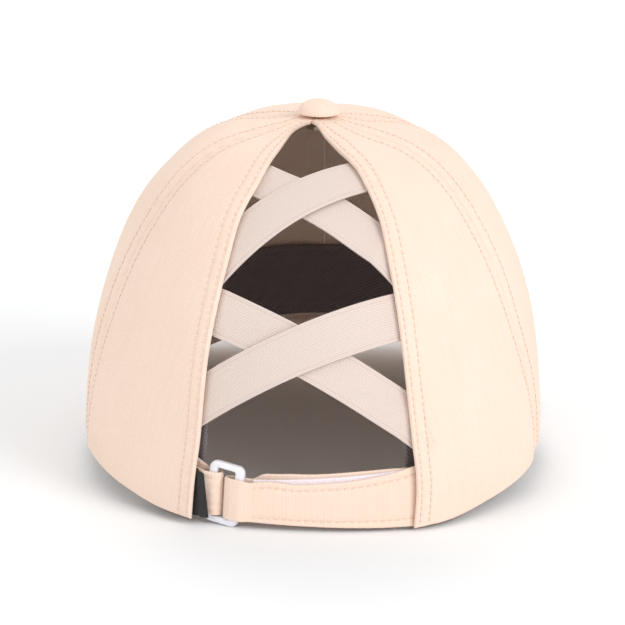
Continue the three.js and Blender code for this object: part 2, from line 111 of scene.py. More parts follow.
def crownPoint(bearing, rise, inward=0.0):  # bearing 0 is the back and 90 the wearer's left
    bearing, rise, inward = np.broadcast_arrays(
        np.asarray(bearing, float), np.asarray(rise, float), np.asarray(inward, float))
    wrapped = (bearing + 180) % 360 - 180
    out, up, full = profile(wrapped, rise)
    s, c = np.sin(np.radians(wrapped)), np.cos(np.radians(wrapped))
    sag = crown["shoulderSag"] * 9.5 * out * (1 - out) ** 3  # 9.5 makes its greatest value one
    point = np.stack([halfWidth * s * out, halfLength * c * out,
                      crown["height"] * up - sag + rimHeight(wrapped) * (1 - rise) ** 2], -1)
    steep = out ** (full - 1) * full
    top = crown["topRoundness"] * up ** (crown["topRoundness"] - 1) / crown["height"]
    normal = unit(np.stack([s / halfWidth * steep, c / halfLength * steep, top + 0 * s], -1))
    around = abs(wrapped)
    nearest = np.minimum(abs(seamAt(3, rise) - around), abs(seamAt(4, rise) - around))
    nearest = np.minimum(nearest, 180 - around)
    away = np.radians(nearest) * halfWidth * out / crown["seamReach"]
    valley = crown["seamDepth"] * np.exp(-away**2) * np.minimum(1, out * 3)
    return point - normal * (inward + valley)[..., None]


def unit(v):
    return v / np.maximum(np.linalg.norm(v, axis=-1, keepdims=True), 1e-12)


def toRow(points):  # sets the cap down and turns millimetres to metres
    c, s = math.cos(seating["tilt"]), math.sin(seating["tilt"])
    x, y, z = points[..., 0], points[..., 1], points[..., 2]
    return np.stack([x, y * c - z * s + seating["along"], y * s + z * c + seating["up"]], -1) / 1000


# Finishes
def tone(code):  # an sRGB hex colour as linear values
    parts = [int(code[i:i + 2], 16) / 255 for i in (1, 3, 5)]
    return tuple(p / 12.92 if p <= 0.04045 else ((p + 0.055) / 1.055) ** 2.4 for p in parts) + (1,)


def addNode(tree, kind, inputs=None, **settings):
    made = tree.nodes.new(kind)
    for name, value in settings.items():
        setattr(made, name, value)
    for socket, value in (inputs or {}).items():
        if isinstance(value, bpy.types.NodeSocket):
            tree.links.new(value, made.inputs[socket])
        else:
            made.inputs[socket].default_value = value
    return made


def newFinish(name, sockets):
    finish = bpy.data.materials.new(name)
    finish.use_nodes = True
    shader = finish.node_tree.nodes["Principled BSDF"]
    for socket, value in sockets.items():
        shader.inputs[socket].default_value = value
    return finish, finish.node_tree, shader


def blendTones(tree, factor, first, second):
    mixed = addNode(tree, "ShaderNodeMix", {0: factor, 6: first, 7: second}, data_type="RGBA")
    return mixed.outputs[2]


bandScale = math.tau / 20  # a band texture of scale 1 repeats after this length


def weave(tree, place, warpPitch, weftPitch):  # threads over and under each other, pitches in millimetres
    warp = addNode(tree, "ShaderNodeTexWave", {"Vector": place, "Scale": bandScale / warpPitch},
                   wave_type="BANDS", bands_direction="X")
    weft = addNode(tree, "ShaderNodeTexWave", {"Vector": place, "Scale": bandScale / weftPitch},
                   wave_type="BANDS", bands_direction="Y")
    square = addNode(tree, "ShaderNodeMapping",
                     {"Vector": place, "Scale": (1 / warpPitch, 1 / weftPitch, 1),
                      "Location": (0.001, 0.001, 0.5)})
    over = addNode(tree, "ShaderNodeTexChecker", {"Vector": square.outputs[0], "Scale": 1.0})
    return addNode(tree, "ShaderNodeMix", {0: over.outputs["Fac"], 2: warp.outputs["Fac"],
                                           3: weft.outputs["Fac"]}).outputs[0]


# Plain woven polyester, dyed pale peach: matt, with a faint sheen and slightly uneven warp threads
# Its threads are 0.3 mm apart, too fine to show, so they are drawn about three times coarser
weaveCloth = {
    "light": "#F6E0D0", "deep": "#EFD3BF", "warp": 1.1, "weft": 1.0,
    "slub": 0.9, "slubLength": 22, "relief": 0.00009,
}


def clothFinish():
    finish, tree, shader = newFinish("wovenPolyesterPeach", {
        "Roughness": 0.86, "IOR": 1.5, "Specular IOR Level": 0.25,
        "Sheen Weight": 0.18, "Sheen Roughness": 0.45, "Sheen Tint": tone("#FFF0E4")})
    place = addNode(tree, "ShaderNodeUVMap", uv_map="cloth").outputs[0]
    threads = weave(tree, place, weaveCloth["warp"], weaveCloth["weft"])
    drawn = addNode(tree, "ShaderNodeMapping",
                    {"Vector": place, "Scale": (1 / weaveCloth["slub"], 1 / weaveCloth["slubLength"], 1)})
    slub = addNode(tree, "ShaderNodeTexNoise", {"Vector": drawn.outputs[0], "Scale": 1.0, "Detail": 2.0})
    dye = addNode(tree, "ShaderNodeTexNoise", {"Vector": place, "Scale": 0.035, "Detail": 3.0})  # 30 mm
    streak = addNode(tree, "ShaderNodeMapRange",
                     {"Value": slub.outputs["Fac"], "From Min": 0.3, "From Max": 0.7})
    cloud = addNode(tree, "ShaderNodeMapRange",
                    {"Value": dye.outputs["Fac"], "From Min": 0.3, "From Max": 0.7})
    both = addNode(tree, "ShaderNodeMix", {0: 0.5, 2: streak.outputs[0], 3: cloud.outputs[0]})
    worn = addNode(tree, "ShaderNodeMix", {0: 0.4, 2: both.outputs[0], 3: threads})
    tree.links.new(blendTones(tree, worn.outputs[0], tone(weaveCloth["deep"]), tone(weaveCloth["light"])),
                   shader.inputs["Base Color"])
    gloss = addNode(tree, "ShaderNodeMapRange", {"Value": threads, "To Min": 0.92, "To Max": 0.8})
    tree.links.new(gloss.outputs[0], shader.inputs["Roughness"])
    height = addNode(tree, "ShaderNodeMath", {0: threads, 1: streak.outputs[0]}, operation="ADD")
    bump = addNode(tree, "ShaderNodeBump", {"Height": height.outputs[0], "Strength": 0.6,
                                            "Distance": weaveCloth["relief"]})
    tree.links.new(bump.outputs[0], shader.inputs["Normal"])
    return finish


# Woven elastic braid, undyed pinkish beige: lengthwise ribs over rubber cores, a firm selvedge each side.
# Its colour follows the ribs, and painted shade darkens it in the furrow inside each selvedge
braid = {"light": "#E7D8D0", "deep": "#D6C3B9", "rib": 0.8, "pick": 0.55, "selvedge": 1.5, "width": 16}


def braidFinish():
    finish, tree, shader = newFinish("wovenElasticBraid", {
        "Roughness": 0.8, "IOR": 1.5, "Specular IOR Level": 0.3,
        "Sheen Weight": 0.12, "Sheen Roughness": 0.5})
    place = addNode(tree, "ShaderNodeUVMap", uv_map="cloth").outputs[0]
    ribs = addNode(tree, "ShaderNodeTexWave", {"Vector": place, "Scale": bandScale / braid["rib"]},
                   wave_type="BANDS", bands_direction="Y")
    picks = addNode(tree, "ShaderNodeTexWave",
                    {"Vector": place, "Scale": bandScale / braid["pick"], "Distortion": 0.6, "Detail": 1.0},
                    wave_type="BANDS", bands_direction="X")
    parts = addNode(tree, "ShaderNodeSeparateXYZ", {0: place})
    centred = addNode(tree, "ShaderNodeMath",
                      {0: parts.outputs["Y"], 1: braid["width"] / 2}, operation="SUBTRACT")
    outward = addNode(tree, "ShaderNodeMath", {0: centred.outputs[0]}, operation="ABSOLUTE")
    line = addNode(tree, "ShaderNodeMath",
                   {0: outward.outputs[0], 1: braid["width"] / 2 - braid["selvedge"]},
                   operation="SUBTRACT")
    away = addNode(tree, "ShaderNodeMath", {0: line.outputs[0]}, operation="ABSOLUTE")
    furrowDentAndShade = addNode(tree, "ShaderNodeMapRange",
                     {"Value": away.outputs[0], "From Max": 0.35, "To Min": 0, "To Max": 1})
    knit = addNode(tree, "ShaderNodeMix", {0: 0.35, 2: ribs.outputs["Fac"], 3: picks.outputs["Fac"]})
    height = addNode(tree, "ShaderNodeMath",
                     {0: knit.outputs[0], 1: furrowDentAndShade.outputs[0]}, operation="MULTIPLY")
    # painted shade: the base colour falls to the deep tone in the furrow beside each selvedge, where the
    # bump dents the braid
    tree.links.new(blendTones(tree, height.outputs[0], tone(braid["deep"]), tone(braid["light"])),
                   shader.inputs["Base Color"])
    bump = addNode(tree, "ShaderNodeBump",
                   {"Height": height.outputs[0], "Strength": 0.8, "Distance": 0.00016})
    tree.links.new(bump.outputs[0], shader.inputs["Normal"])
    gloss = addNode(tree, "ShaderNodeMapRange", {"Value": knit.outputs[0], "To Min": 0.9, "To Max": 0.7})
    tree.links.new(gloss.outputs[0], shader.inputs["Roughness"])
    return finish


# Cotton twill sweatband, dark grey with a mauve cast: soft, quite matt, with diagonal twill lines
twill = {"light": "#8A8081", "deep": "#696061", "line": 1.1}


def twillFinish():
    finish, tree, shader = newFinish("cottonTwillGrey", {
        "Roughness": 0.92, "IOR": 1.5, "Specular IOR Level": 0.2,
        "Sheen Weight": 0.3, "Sheen Roughness": 0.5})
    place = addNode(tree, "ShaderNodeUVMap", uv_map="cloth").outputs[0]
    slanted = addNode(tree, "ShaderNodeMapping", {"Vector": place, "Rotation": (0, 0, math.radians(62))})
    lines = addNode(tree, "ShaderNodeTexWave",
                    {"Vector": slanted.outputs[0], "Scale": bandScale / twill["line"], "Distortion": 0.8,
                     "Detail": 1.0}, wave_type="BANDS", bands_direction="X")
    fuzz = addNode(tree, "ShaderNodeTexNoise", {"Vector": place, "Scale": 1.6, "Detail": 3.0})  # 0.6 mm
    height = addNode(tree, "ShaderNodeMix", {0: 0.4, 2: lines.outputs["Fac"], 3: fuzz.outputs["Fac"]})
    tree.links.new(blendTones(tree, height.outputs[0], tone(twill["deep"]), tone(twill["light"])),
                   shader.inputs["Base Color"])
    bump = addNode(tree, "ShaderNodeBump",
                   {"Height": height.outputs[0], "Strength": 0.7, "Distance": 0.00015})
    tree.links.new(bump.outputs[0], shader.inputs["Normal"])
    gloss = addNode(tree, "ShaderNodeMapRange",
                    {"Value": fuzz.outputs["Fac"], "To Min": 0.85, "To Max": 1.0})
    tree.links.new(gloss.outputs[0], shader.inputs["Roughness"])
    return finish


# Woven satin label tape, black: fine cross ribs with a soft silky gloss along them
tape = {"light": "#2A2829", "deep": "#161516", "rib": 0.7}


def tapeFinish():
    finish, tree, shader = newFinish("satinTapeBlack", {
        "Roughness": 0.6, "IOR": 1.5, "Specular IOR Level": 0.4, "Sheen Weight": 0.15})
    place = addNode(tree, "ShaderNodeUVMap", uv_map="cloth").outputs[0]
    threads = weave(tree, place, tape["rib"], tape["rib"] * 0.8)
    tree.links.new(blendTones(tree, threads, tone(tape["deep"]), tone(tape["light"])),
                   shader.inputs["Base Color"])
    gloss = addNode(tree, "ShaderNodeMapRange", {"Value": threads, "To Min": 0.7, "To Max": 0.5})
    tree.links.new(gloss.outputs[0], shader.inputs["Roughness"])
    bump = addNode(tree, "ShaderNodeBump", {"Height": threads, "Strength": 0.6, "Distance": 0.0001})
    tree.links.new(bump.outputs[0], shader.inputs["Normal"])
    return finish


# Hook and loop tape, pale lilac white: a low pile of nylon loops that scatters the light
pile = {"light": "#F8EFF2", "deep": "#E9DBE1", "loop": 0.6}


def pileFinish():
    finish, tree, shader = newFinish("nylonLoopTape", {
        "Roughness": 0.95, "IOR": 1.53, "Specular IOR Level": 0.2,
        "Sheen Weight": 0.4, "Sheen Roughness": 0.4})
    place = addNode(tree, "ShaderNodeUVMap", uv_map="cloth").outputs[0]
    loops = addNode(tree, "ShaderNodeTexVoronoi",
                    {"Vector": place, "Scale": 1 / pile["loop"]}, feature="SMOOTH_F1")
    shade = addNode(tree, "ShaderNodeMapRange", {"Value": loops.outputs["Distance"], "From Max": 0.8,
                                                 "To Min": 1.0, "To Max": 0.0})
    tree.links.new(blendTones(tree, shade.outputs[0], tone(pile["deep"]), tone(pile["light"])),
                   shader.inputs["Base Color"])
    bump = addNode(tree, "ShaderNodeBump",
                   {"Height": shade.outputs[0], "Strength": 0.6, "Distance": 0.00012})
    tree.links.new(bump.outputs[0], shader.inputs["Normal"])
    return finish


# Polyester sewing thread, a tone deeper than the cloth: twisted, with a slight gloss.
# From here on patterns lie on object coordinates, in metres: 900 to the metre is one twist in 1.1 mm
def threadFinish(name, light, deep):
    finish, tree, shader = newFinish(name, {
        "Roughness": 0.6, "IOR": 1.5, "Specular IOR Level": 0.4, "Sheen Weight": 0.1})
    place = addNode(tree, "ShaderNodeTexCoord").outputs["Object"]
    twist = addNode(tree, "ShaderNodeTexNoise", {"Vector": place, "Scale": 900.0, "Detail": 1.0})
    tree.links.new(blendTones(tree, twist.outputs["Fac"], tone(deep), tone(light)),
                   shader.inputs["Base Color"])
    gloss = addNode(tree, "ShaderNodeMapRange",
                    {"Value": twist.outputs["Fac"], "To Min": 0.5, "To Max": 0.75})
    tree.links.new(gloss.outputs[0], shader.inputs["Roughness"])
    return finish


# Moulded acetal ring, white with a cool cast: smooth and semi-gloss with a faint mould texture.
# The mould's grain is 0.7 mm and the flow marks are 6 mm
def plasticFinish():
    finish, tree, shader = newFinish("mouldedAcetalWhite", {
        "Roughness": 0.34, "IOR": 1.48, "Subsurface Weight": 0.08, "Subsurface Scale": 0.001})
    place = addNode(tree, "ShaderNodeTexCoord").outputs["Object"]
    grain = addNode(tree, "ShaderNodeTexNoise", {"Vector": place, "Scale": 1400.0, "Detail": 2.0})
    flow = addNode(tree, "ShaderNodeTexNoise", {"Vector": place, "Scale": 160.0, "Detail": 1.0})
    tree.links.new(blendTones(tree, flow.outputs["Fac"], tone("#ECEDF5"), tone("#F6F7FC")),
                   shader.inputs["Base Color"])
    gloss = addNode(tree, "ShaderNodeMapRange",
                    {"Value": flow.outputs["Fac"], "To Min": 0.28, "To Max": 0.42})
    tree.links.new(gloss.outputs[0], shader.inputs["Roughness"])
    bump = addNode(tree, "ShaderNodeBump",
                   {"Height": grain.outputs["Fac"], "Strength": 0.15, "Distance": 0.00004})
    tree.links.new(bump.outputs[0], shader.inputs["Normal"])
    return finish


# Nickel-plated steel stud: pressed, so slightly uneven every 2 mm, with a soft metallic gloss
def metalFinish():
    finish, tree, shader = newFinish("nickelPlatedSteel", {"Metallic": 1.0, "Roughness": 0.3})
    place = addNode(tree, "ShaderNodeTexCoord").outputs["Object"]
    dull = addNode(tree, "ShaderNodeTexNoise", {"Vector": place, "Scale": 500.0, "Detail": 3.0})
    tree.links.new(blendTones(tree, dull.outputs["Fac"], tone("#B4ADA2"), tone("#CBC5BB")),
                   shader.inputs["Base Color"])
    gloss = addNode(tree, "ShaderNodeMapRange",
                    {"Value": dull.outputs["Fac"], "To Min": 0.22, "To Max": 0.45})
    tree.links.new(gloss.outputs[0], shader.inputs["Roughness"])
    return finish


peachCloth = clothFinish()
elasticBraid = braidFinish()
greyTwill = twillFinish()
blackTape = tapeFinish()
loopTape = pileFinish()
peachThread = threadFinish("sewingThreadPeach", "#F3DACA", "#EACEBB")
greyThread = threadFinish("sewingThreadGrey", "#8F8687", "#756C6D")
whiteAcetal = plasticFinish()
studSteel = metalFinish()
print("finishes made")


# Making and placing pieces
def addMesh(name, points, faces, uv=None):
    mesh = bpy.data.meshes.new(name)
    mesh.from_pydata(toRow(points).tolist(), [], faces.tolist())
    if uv is not None:
        layer = mesh.uv_layers.new(name="cloth")
        layer.data.foreach_set("uv", uv[faces.ravel()].astype(np.float32).ravel())
    mesh.polygons.foreach_set("use_smooth", [True] * len(mesh.polygons))
    piece = bpy.data.objects.new(name, mesh)
    bpy.context.scene.collection.objects.link(piece)
    return piece


def skin(name, rings, uv=None):  # a closed skin through rings of points, each listed the same way round
    rows, around = rings.shape[:2]
    i, j = np.meshgrid(np.arange(rows - 1), np.arange(around), indexing="ij")
    a, b = i * around + j, i * around + (j + 1) % around
    sides = np.stack([a, b, b + around, a + around], -1).reshape(-1, 4)
    k = np.arange(around // 2 - 1)
    end = np.stack([k, k + 1, around - 2 - k, around - 1 - k], -1)
    faces = np.concatenate([sides, end[:, ::-1], end + (rows - 1) * around])
    points = rings.reshape(-1, 3)
    p, q, r, s = (points[faces[:, n]] for n in range(4))
    volume = (p * np.cross(q, r)).sum() + (p * np.cross(r, s)).sum()
    return addMesh(name, points, faces if volume > 0 else faces[:, ::-1],
                   None if uv is None else uv.reshape(-1, 2))


def fit(piece, finish, slot, *nodes):  # the finish and the solids it replaces; slot is not used, and every piece rides on the root body
    piece.data.materials.clear()
    piece.data.materials.append(finish)
    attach(piece, "root")
    if nodes:
        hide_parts(*nodes)
    return piece


def roll(distance, radius):  # how far a rounded edge falls away, by the distance in from the edge
    return radius * (1 - np.sqrt(1 - np.clip((radius - distance) / radius, 0, 1) ** 2))


def ledge(distance, at, soft=0.5):  # 1 nearer than at, 0 past it
    t = np.clip((at - distance) / soft + 0.5, 0, 1)
    return t * t * (3 - 2 * t)


def bell(distance, reach):
    return np.exp(-((distance / reach) ** 2))


def arcLength(line):  # how far along a line each of its points is
    return np.concatenate([[0], np.cumsum(np.linalg.norm(np.diff(line, axis=0), axis=1))])


def alongLine(places, length, values):  # values at given distances along a line
    return np.stack([np.interp(places, length, values[:, k]) for k in range(3)], -1)


# Stitches
thread = {"radius": 0.21, "share": 0.8, "sides": 6, "lift": 0.12}


def stitches(name, rows, pitch):  # rows of (middles, directions, ways up), one small thread each
    middle, along, up = (np.concatenate(part) for part in zip(*rows))
    along = unit(along)
    side = unit(np.cross(along, up))
    up = np.cross(side, along)
    reach = pitch * thread["share"] / 2
    turn = np.arange(thread["sides"]) * math.tau / thread["sides"]
    shape = [(0, 0, -reach, -0.24)]
    for place, size, high in ((-0.62, 0.85, -0.03), (0, 1, 0.05), (0.62, 0.85, -0.03)):
        for t in turn:
            r = thread["radius"] * size
            shape.append((r * math.cos(t), r * math.sin(t), place * reach, high))
    shape.append((0, 0, reach, -0.24))
    shape = np.array(shape)
    points = (middle[:, None] + side[:, None] * shape[None, :, 0, None]
              + up[:, None] * (shape[:, 1] + shape[:, 3])[None, :, None]
              + along[:, None] * shape[None, :, 2, None])
    n, count = thread["sides"], len(shape)
    tris, quads = [], []
    for k in range(n):
        after = (k + 1) % n
        tris.append((0, 1 + k, 1 + after))
        tris.append((count - 1, count - 1 - n + after, count - 1 - n + k))
        for ring in (0, 1):
            first, second = 1 + ring * n, 1 + (ring + 1) * n
            quads.append((first + k, second + k, second + after, first + after))
    offsets = (np.arange(len(middle)) * count)[:, None, None]
    faces = (np.array(quads)[None] + offsets).reshape(-1, 4).tolist()
    faces += (np.array(tris)[None] + offsets).reshape(-1, 3).tolist()
    mesh = bpy.data.meshes.new(name)
    mesh.from_pydata(toRow(points.reshape(-1, 3)).tolist(), [], faces)
    mesh.polygons.foreach_set("use_smooth", [True] * len(mesh.polygons))
    piece = bpy.data.objects.new(name, mesh)
    bpy.context.scene.collection.objects.link(piece)
    return piece


# Crown panels
cloth = {
    "wall": 0.95, "allowance": 0.5, "allowanceWidth": 7, "hemWall": 2.0, "hemWidth": 8.6,
    "turnUp": 0.55, "turnUpHeight": 12, "seamRoll": 1.15, "innerRoll": 0.45,
    "rowSpacing": 0.75, "middleColumns": 38,
    "pitch": 2.4, "groove": 0.26, "grooveReach": 0.6, "seamRows": (5.5,), "hemRows": (1.7, 5.6),
    "ripple": 0.16, "rippleLength": 6.3, "rippleReach": 5.5,  # puckers along the seams
    "puff": 0.12, "puffLength": 5.1, "puffFrom": 3.6, "puffReach": 2.2,  # and along the hem
    "wander": 0.34, "tipPile": 1.6, "tipFrom": 5, "tipReach": 14,
    "tipPileThrough": 0.8,  # the share of the heap that lifts the inner face too
    "hemThinner": 0.8, "hemThinnerAt": 0.83,  # towards the top of the opening
    "stitchedTo": 0.955,
}
# Where the rows of points beside a panel's edge lie, close together where the cloth rolls and is stitched
nearEdge = np.array([
    0.01, 0.06, 0.15, 0.3, 0.5, 0.75, 1.0, 1.35, 1.7, 2.05, 2.5, 3.2, 4.0, 4.7, 5.1, 5.5, 5.9, 6.4, 7.0,
    7.6, 8.4, 9.2,
])
# A small star of creases beside the opening's right edge, where a strap pulls, and a crease from it
pucker = {
    "bearing": -31.5, "rise": 0.116, "reach": 4.5, "depth": 0.3, "rays": 5, "flatMiddle": 1.5,
    "creaseTo": (-50, 0.101), "creaseDepth": 0.45, "creaseReach": 2.2, "creaseWidens": 2.5,
}

fineRise = np.linspace(0, topRow, 4000)
fineUp = np.concatenate([[0], np.cumsum(np.linalg.norm(np.diff(crownPoint(90, fineRise), axis=0), axis=1))])
rowUp = np.concatenate([[0.01, 0.06, 0.15, 0.3, 0.5, 0.75, 1.1, 1.6],
                        np.linspace(2.3, fineUp[-1], int(fineUp[-1] / cloth["rowSpacing"]))])
rowRise = np.interp(rowUp, fineUp, fineRise)

panels = {
    "crown_back_left": {"start": lambda r: openingEdge(1, r), "end": lambda r: seamAt(3, r),
                        "hem": "start"},
    "crown_back_right": {"start": lambda r: -seamAt(3, r), "end": lambda r: openingEdge(-1, r),
                         "hem": "end"},
    "crown_side_left": {"start": lambda r: seamAt(3, r), "end": lambda r: seamAt(4, r), "hem": None},
    "crown_side_right": {"start": lambda r: -seamAt(4, r), "end": lambda r: -seamAt(3, r), "hem": None},
    "crown_front_left": {"start": lambda r: seamAt(4, r), "end": lambda r: 180 + 0 * r, "hem": None},
    "crown_front_right": {"start": lambda r: -180 + 0 * r, "end": lambda r: -seamAt(4, r), "hem": None},
}


def wander(bearing, rise, up):  # the soft unevenness of sewn cloth, alike on both sides of a seam
    around = bearing * 1.5
    waves = (np.sin(around / 8.3 + up / 23 + 0.7) * np.sin(up / 17 - around / 41 + 1.9)
             + 0.7 * np.sin(around / 15.1 - up / 13.7 + 2.6) * np.cos(up / 29 + around / 27))
    fold = cloth["wander"] * waves * np.minimum(1, (1 - rise) * 4)
    wide = degreeLength(bearing, rise)
    height = np.interp(rise, fineRise, fineUp)
    dx = (bearing - pucker["bearing"]) * wide
    dy = height - np.interp(pucker["rise"], fineRise, fineUp)
    away = np.hypot(dx, dy)
    star = pucker["depth"] * np.cos(pucker["rays"] * np.arctan2(dy, dx)) * bell(away, pucker["reach"])
    fold = fold + star * np.minimum(1, away / pucker["flatMiddle"])
    endX = (pucker["creaseTo"][0] - pucker["bearing"]) * wide
    endY = np.interp(pucker["creaseTo"][1], fineRise, fineUp) - np.interp(pucker["rise"], fineRise, fineUp)
    t = np.clip((dx * endX + dy * endY) / (endX**2 + endY**2), 0, 1)
    off = np.hypot(dx - t * endX, dy - t * endY)
    wide = pucker["creaseReach"] + pucker["creaseWidens"] * t
    return fold + pucker["creaseDepth"] * bell(off, wide) * (1 - t) * np.minimum(1, t * 5)


def tipPile(bearing, rise):  # seam allowances heap up under the button and round the cloth out
    radius = degreeLength(bearing, rise) * 180 / math.pi
    return cloth["tipPile"] * (1 - bell(radius, cloth["tipFrom"])) * bell(radius, cloth["tipReach"])


def clothDepths(panel, fromStart, fromEnd, bearing, rise, up):  # outer and inner face, inwards
    wall = cloth["wall"] + cloth["turnUp"] * ledge(up, cloth["turnUpHeight"])
    grooves, ripple, outerRoll, innerRoll = 0, 0, 0, 0
    beat = 0.65 - 0.35 * np.cos(math.tau * up / cloth["pitch"])
    for side, distance in (("start", fromStart), ("end", fromEnd)):
        if panel["hem"] == side:
            hemWall = cloth["hemWall"] - cloth["hemThinner"] * ledge(-rise, -cloth["hemThinnerAt"], 0.18)
            thicker = (hemWall - cloth["wall"]) * ledge(distance, cloth["hemWidth"])
            outer = inner = hemWall / 2
            rows = cloth["hemRows"]
            wave = np.sin(math.tau * up / cloth["puffLength"] + 0.8 * np.sin(up / 11))
            ripple = ripple + cloth["puff"] * wave * bell(distance - cloth["puffFrom"], cloth["puffReach"])
        else:
            thicker = cloth["allowance"] * ledge(distance, cloth["allowanceWidth"])
            outer, inner = cloth["seamRoll"], cloth["innerRoll"]
            rows = cloth["seamRows"]
            wave = np.sin(math.tau * up / cloth["rippleLength"] + 1.1 * np.sin(up / 17))
            ripple = ripple + cloth["ripple"] * wave * bell(distance, cloth["rippleReach"])
        wall = np.maximum(wall, cloth["wall"] + thicker)
        outerRoll = np.maximum(outerRoll, roll(distance, outer))
        innerRoll = np.maximum(innerRoll, roll(distance, inner))
        for row in rows:
            grooves = grooves + cloth["groove"] * beat * bell(distance - row, cloth["grooveReach"])
    rim = roll(up, wall / 2)
    shared = ripple * np.minimum(1, (1 - rise) * 6) + wander(bearing, rise, up)
    pile, through = tipPile(bearing, rise), cloth["tipPileThrough"]
    shared = shared - through * pile
    outer = np.maximum(outerRoll, rim) + grooves + shared - (1 - through) * pile
    return outer, wall - np.maximum(innerRoll, rim) + shared


def panelSpan(panel, rise):
    first, last = panel["start"](rise), panel["end"](rise)
    width = (last - first) * degreeLength((first + last) / 2, rise)
    return first, last, width, np.minimum(1, width / (2 * nearEdge[-1] + 3))


def crownPanel(name, panel):
    rise, up = rowRise[:, None], rowUp[:, None]
    first, last, width, squeeze = panelSpan(panel, rise)
    beside = nearEdge * squeeze
    between = np.linspace(0, 1, cloth["middleColumns"] + 2)[1:-1]
    middle = beside[:, -1:] + between * (width - 2 * beside[:, -1:])
    place = np.concatenate([beside, middle, width - beside[:, ::-1]], 1)
    bearing = first + place / width * (last - first)
    outer, inner = clothDepths(panel, place / squeeze, (width - place) / squeeze, bearing, rise, up)
    faces = [crownPoint(bearing, rise, depth) for depth in (outer, inner)]
    flat = np.stack([place - width / 2, up + 0 * place], -1)
    return skin("cloth_" + name, np.concatenate([faces[0], faces[1][:, ::-1]], 1),
                np.concatenate([flat, flat[:, ::-1]], 1))


def onPanel(panel, side, row, up, lift):  # a point on the outer face, row millimetres from an edge
    rise = np.interp(up, fineUp, fineRise)
    first, last, width, squeeze = panelSpan(panel, rise)
    place = row * squeeze if side == "start" else width - row * squeeze
    bearing = first + place / width * (last - first)
    depth, _ = clothDepths(panel, place / squeeze, (width - place) / squeeze, bearing, rise, up)
    return crownPoint(bearing, rise, depth - lift)


def panelStitches(panel, side, row):
    top = np.interp(cloth["stitchedTo"], fineRise, fineUp)
    up = np.arange(1, int(top / cloth["pitch"])) * cloth["pitch"]
    middle = onPanel(panel, side, row, up, thread["lift"])
    above = onPanel(panel, side, row, up, thread["lift"] + 1)
    # the thread lies straight over the dimples, so its direction comes from whole stitches
    ahead = onPanel(panel, side, row, up + cloth["pitch"], thread["lift"])
    behind = onPanel(panel, side, row, up - cloth["pitch"], thread["lift"])
    return middle, ahead - behind, above - middle


seamStitches, hemStitches = [], []
for name, panel in panels.items():
    piece = fit(crownPanel(name, panel), peachCloth, "crown_cloth", name)
    for side in ("start", "end"):
        if panel["hem"] == side:
            hemStitches += [panelStitches(panel, side, row) for row in cloth["hemRows"]]
        else:
            seamStitches += [panelStitches(panel, side, row) for row in cloth["seamRows"]]
fit(stitches("stitching_seams", seamStitches, cloth["pitch"]), peachThread, "crown_cloth")
fit(stitches("stitching_opening", hemStitches, cloth["pitch"]), peachThread, "crown_cloth")
print("crown panels sewn")

# Brim
brim = {
    "reach": 70, "thickness": 4, "halfSpan": 64, "arch": 15, "slope": 0.12, "fan": 0.55, "thinEnds": 0.15,
    "wall": 1.4, "gap": 0.3, "rows": (3.4, 10, 16.5, 23, 29.5, 36, 42.5), "groove": 0.28, "pitch": 3,
    "stations": 280, "columns": 96, "edgeRound": 1.75, "clothHalf": 95,
    "underLift": 0.4,  # keeps the stitches under the brim off the ground
}
brimCut = np.array([(0, 1), (0.25, 0.99), (0.5, 0.94), (0.75, 0.71), (0.9, 0.4), (1, 0.03)])


def brimPoint(share, outward, depth):  # share runs from temple to temple, outward from rim to edge
    share, outward, depth = np.broadcast_arrays(share, outward, depth)
    bearing = (180 + share * brim["halfSpan"] + 180) % 360 - 180
    root = crownPoint(bearing, 0, brim["wall"])
    temple = halfWidth * math.sin(math.radians(brim["halfSpan"]))
    square = unit(np.stack([root[..., 0] / halfWidth**2, root[..., 1] / halfLength**2, 0 * share], -1))
    along = unit(np.array([0, -1.0, 0]) * (1 - brim["fan"]) + square * brim["fan"])
    t = np.clip((1 - abs(share)) / brim["thinEnds"], 0, 1)
    thin = t * t * (3 - 2 * t)
    reach = brimReach(share)
    p = root + along * (reach * outward)[..., None]
    p[..., 2] = (root[..., 2] - brim["gap"] - depth * (1 + 2 * thin) / 3
                 + brim["arch"] * (root[..., 0] ** 2 - p[..., 0] ** 2) / temple**2
                 - brim["slope"] * (root[..., 1] - p[..., 1]))
    return p


def brimReach(share):
    return brim["wall"] + brim["reach"] * alongTable(brimCut[:, 0], brimCut[:, 1], abs(share))


def brimDepths(share, outward):
    fromEdge = (1 - outward) * brimReach(share)
    fromRoot = outward * brimReach(share)
    rounded = roll(fromEdge, brim["edgeRound"])
    welt = 0.18 * bell(fromEdge - 1.7, 0.9)  # the turned seam inside the edge
    grooves = sum(brim["groove"] * bell(fromEdge - row, 0.6) for row in brim["rows"])
    grooves = grooves * ledge(-fromRoot, -2, 2)
    top = rounded + grooves - welt - 0.35 * bell(fromRoot, 2.5)
    return top, brim["thickness"] - brim["underLift"] - rounded - grooves + welt


def makeBrim():
    share = np.linspace(-1, 1, brim["stations"])[:, None]
    far = np.array([0.01, 0.08, 0.2, 0.4, 0.65, 0.95, 1.3, 1.7, 2.2, 2.8, 3.4, 4.0])
    far = far / (brim["reach"] + brim["wall"])
    outward = np.concatenate([np.linspace(0, 1 - far[-1], brim["columns"])[:-1], 1 - far[::-1]])[None, :]
    top, under = brimDepths(share, outward)
    faces = [brimPoint(share, outward, depth) for depth in (top, under)]
    flat = np.stack([share * brim["clothHalf"] + 0 * outward, outward * brimReach(share)], -1)
    return skin("cloth_brim", np.concatenate([faces[0], faces[1][:, ::-1]], 1),
                np.concatenate([flat, flat[:, ::-1]], 1))


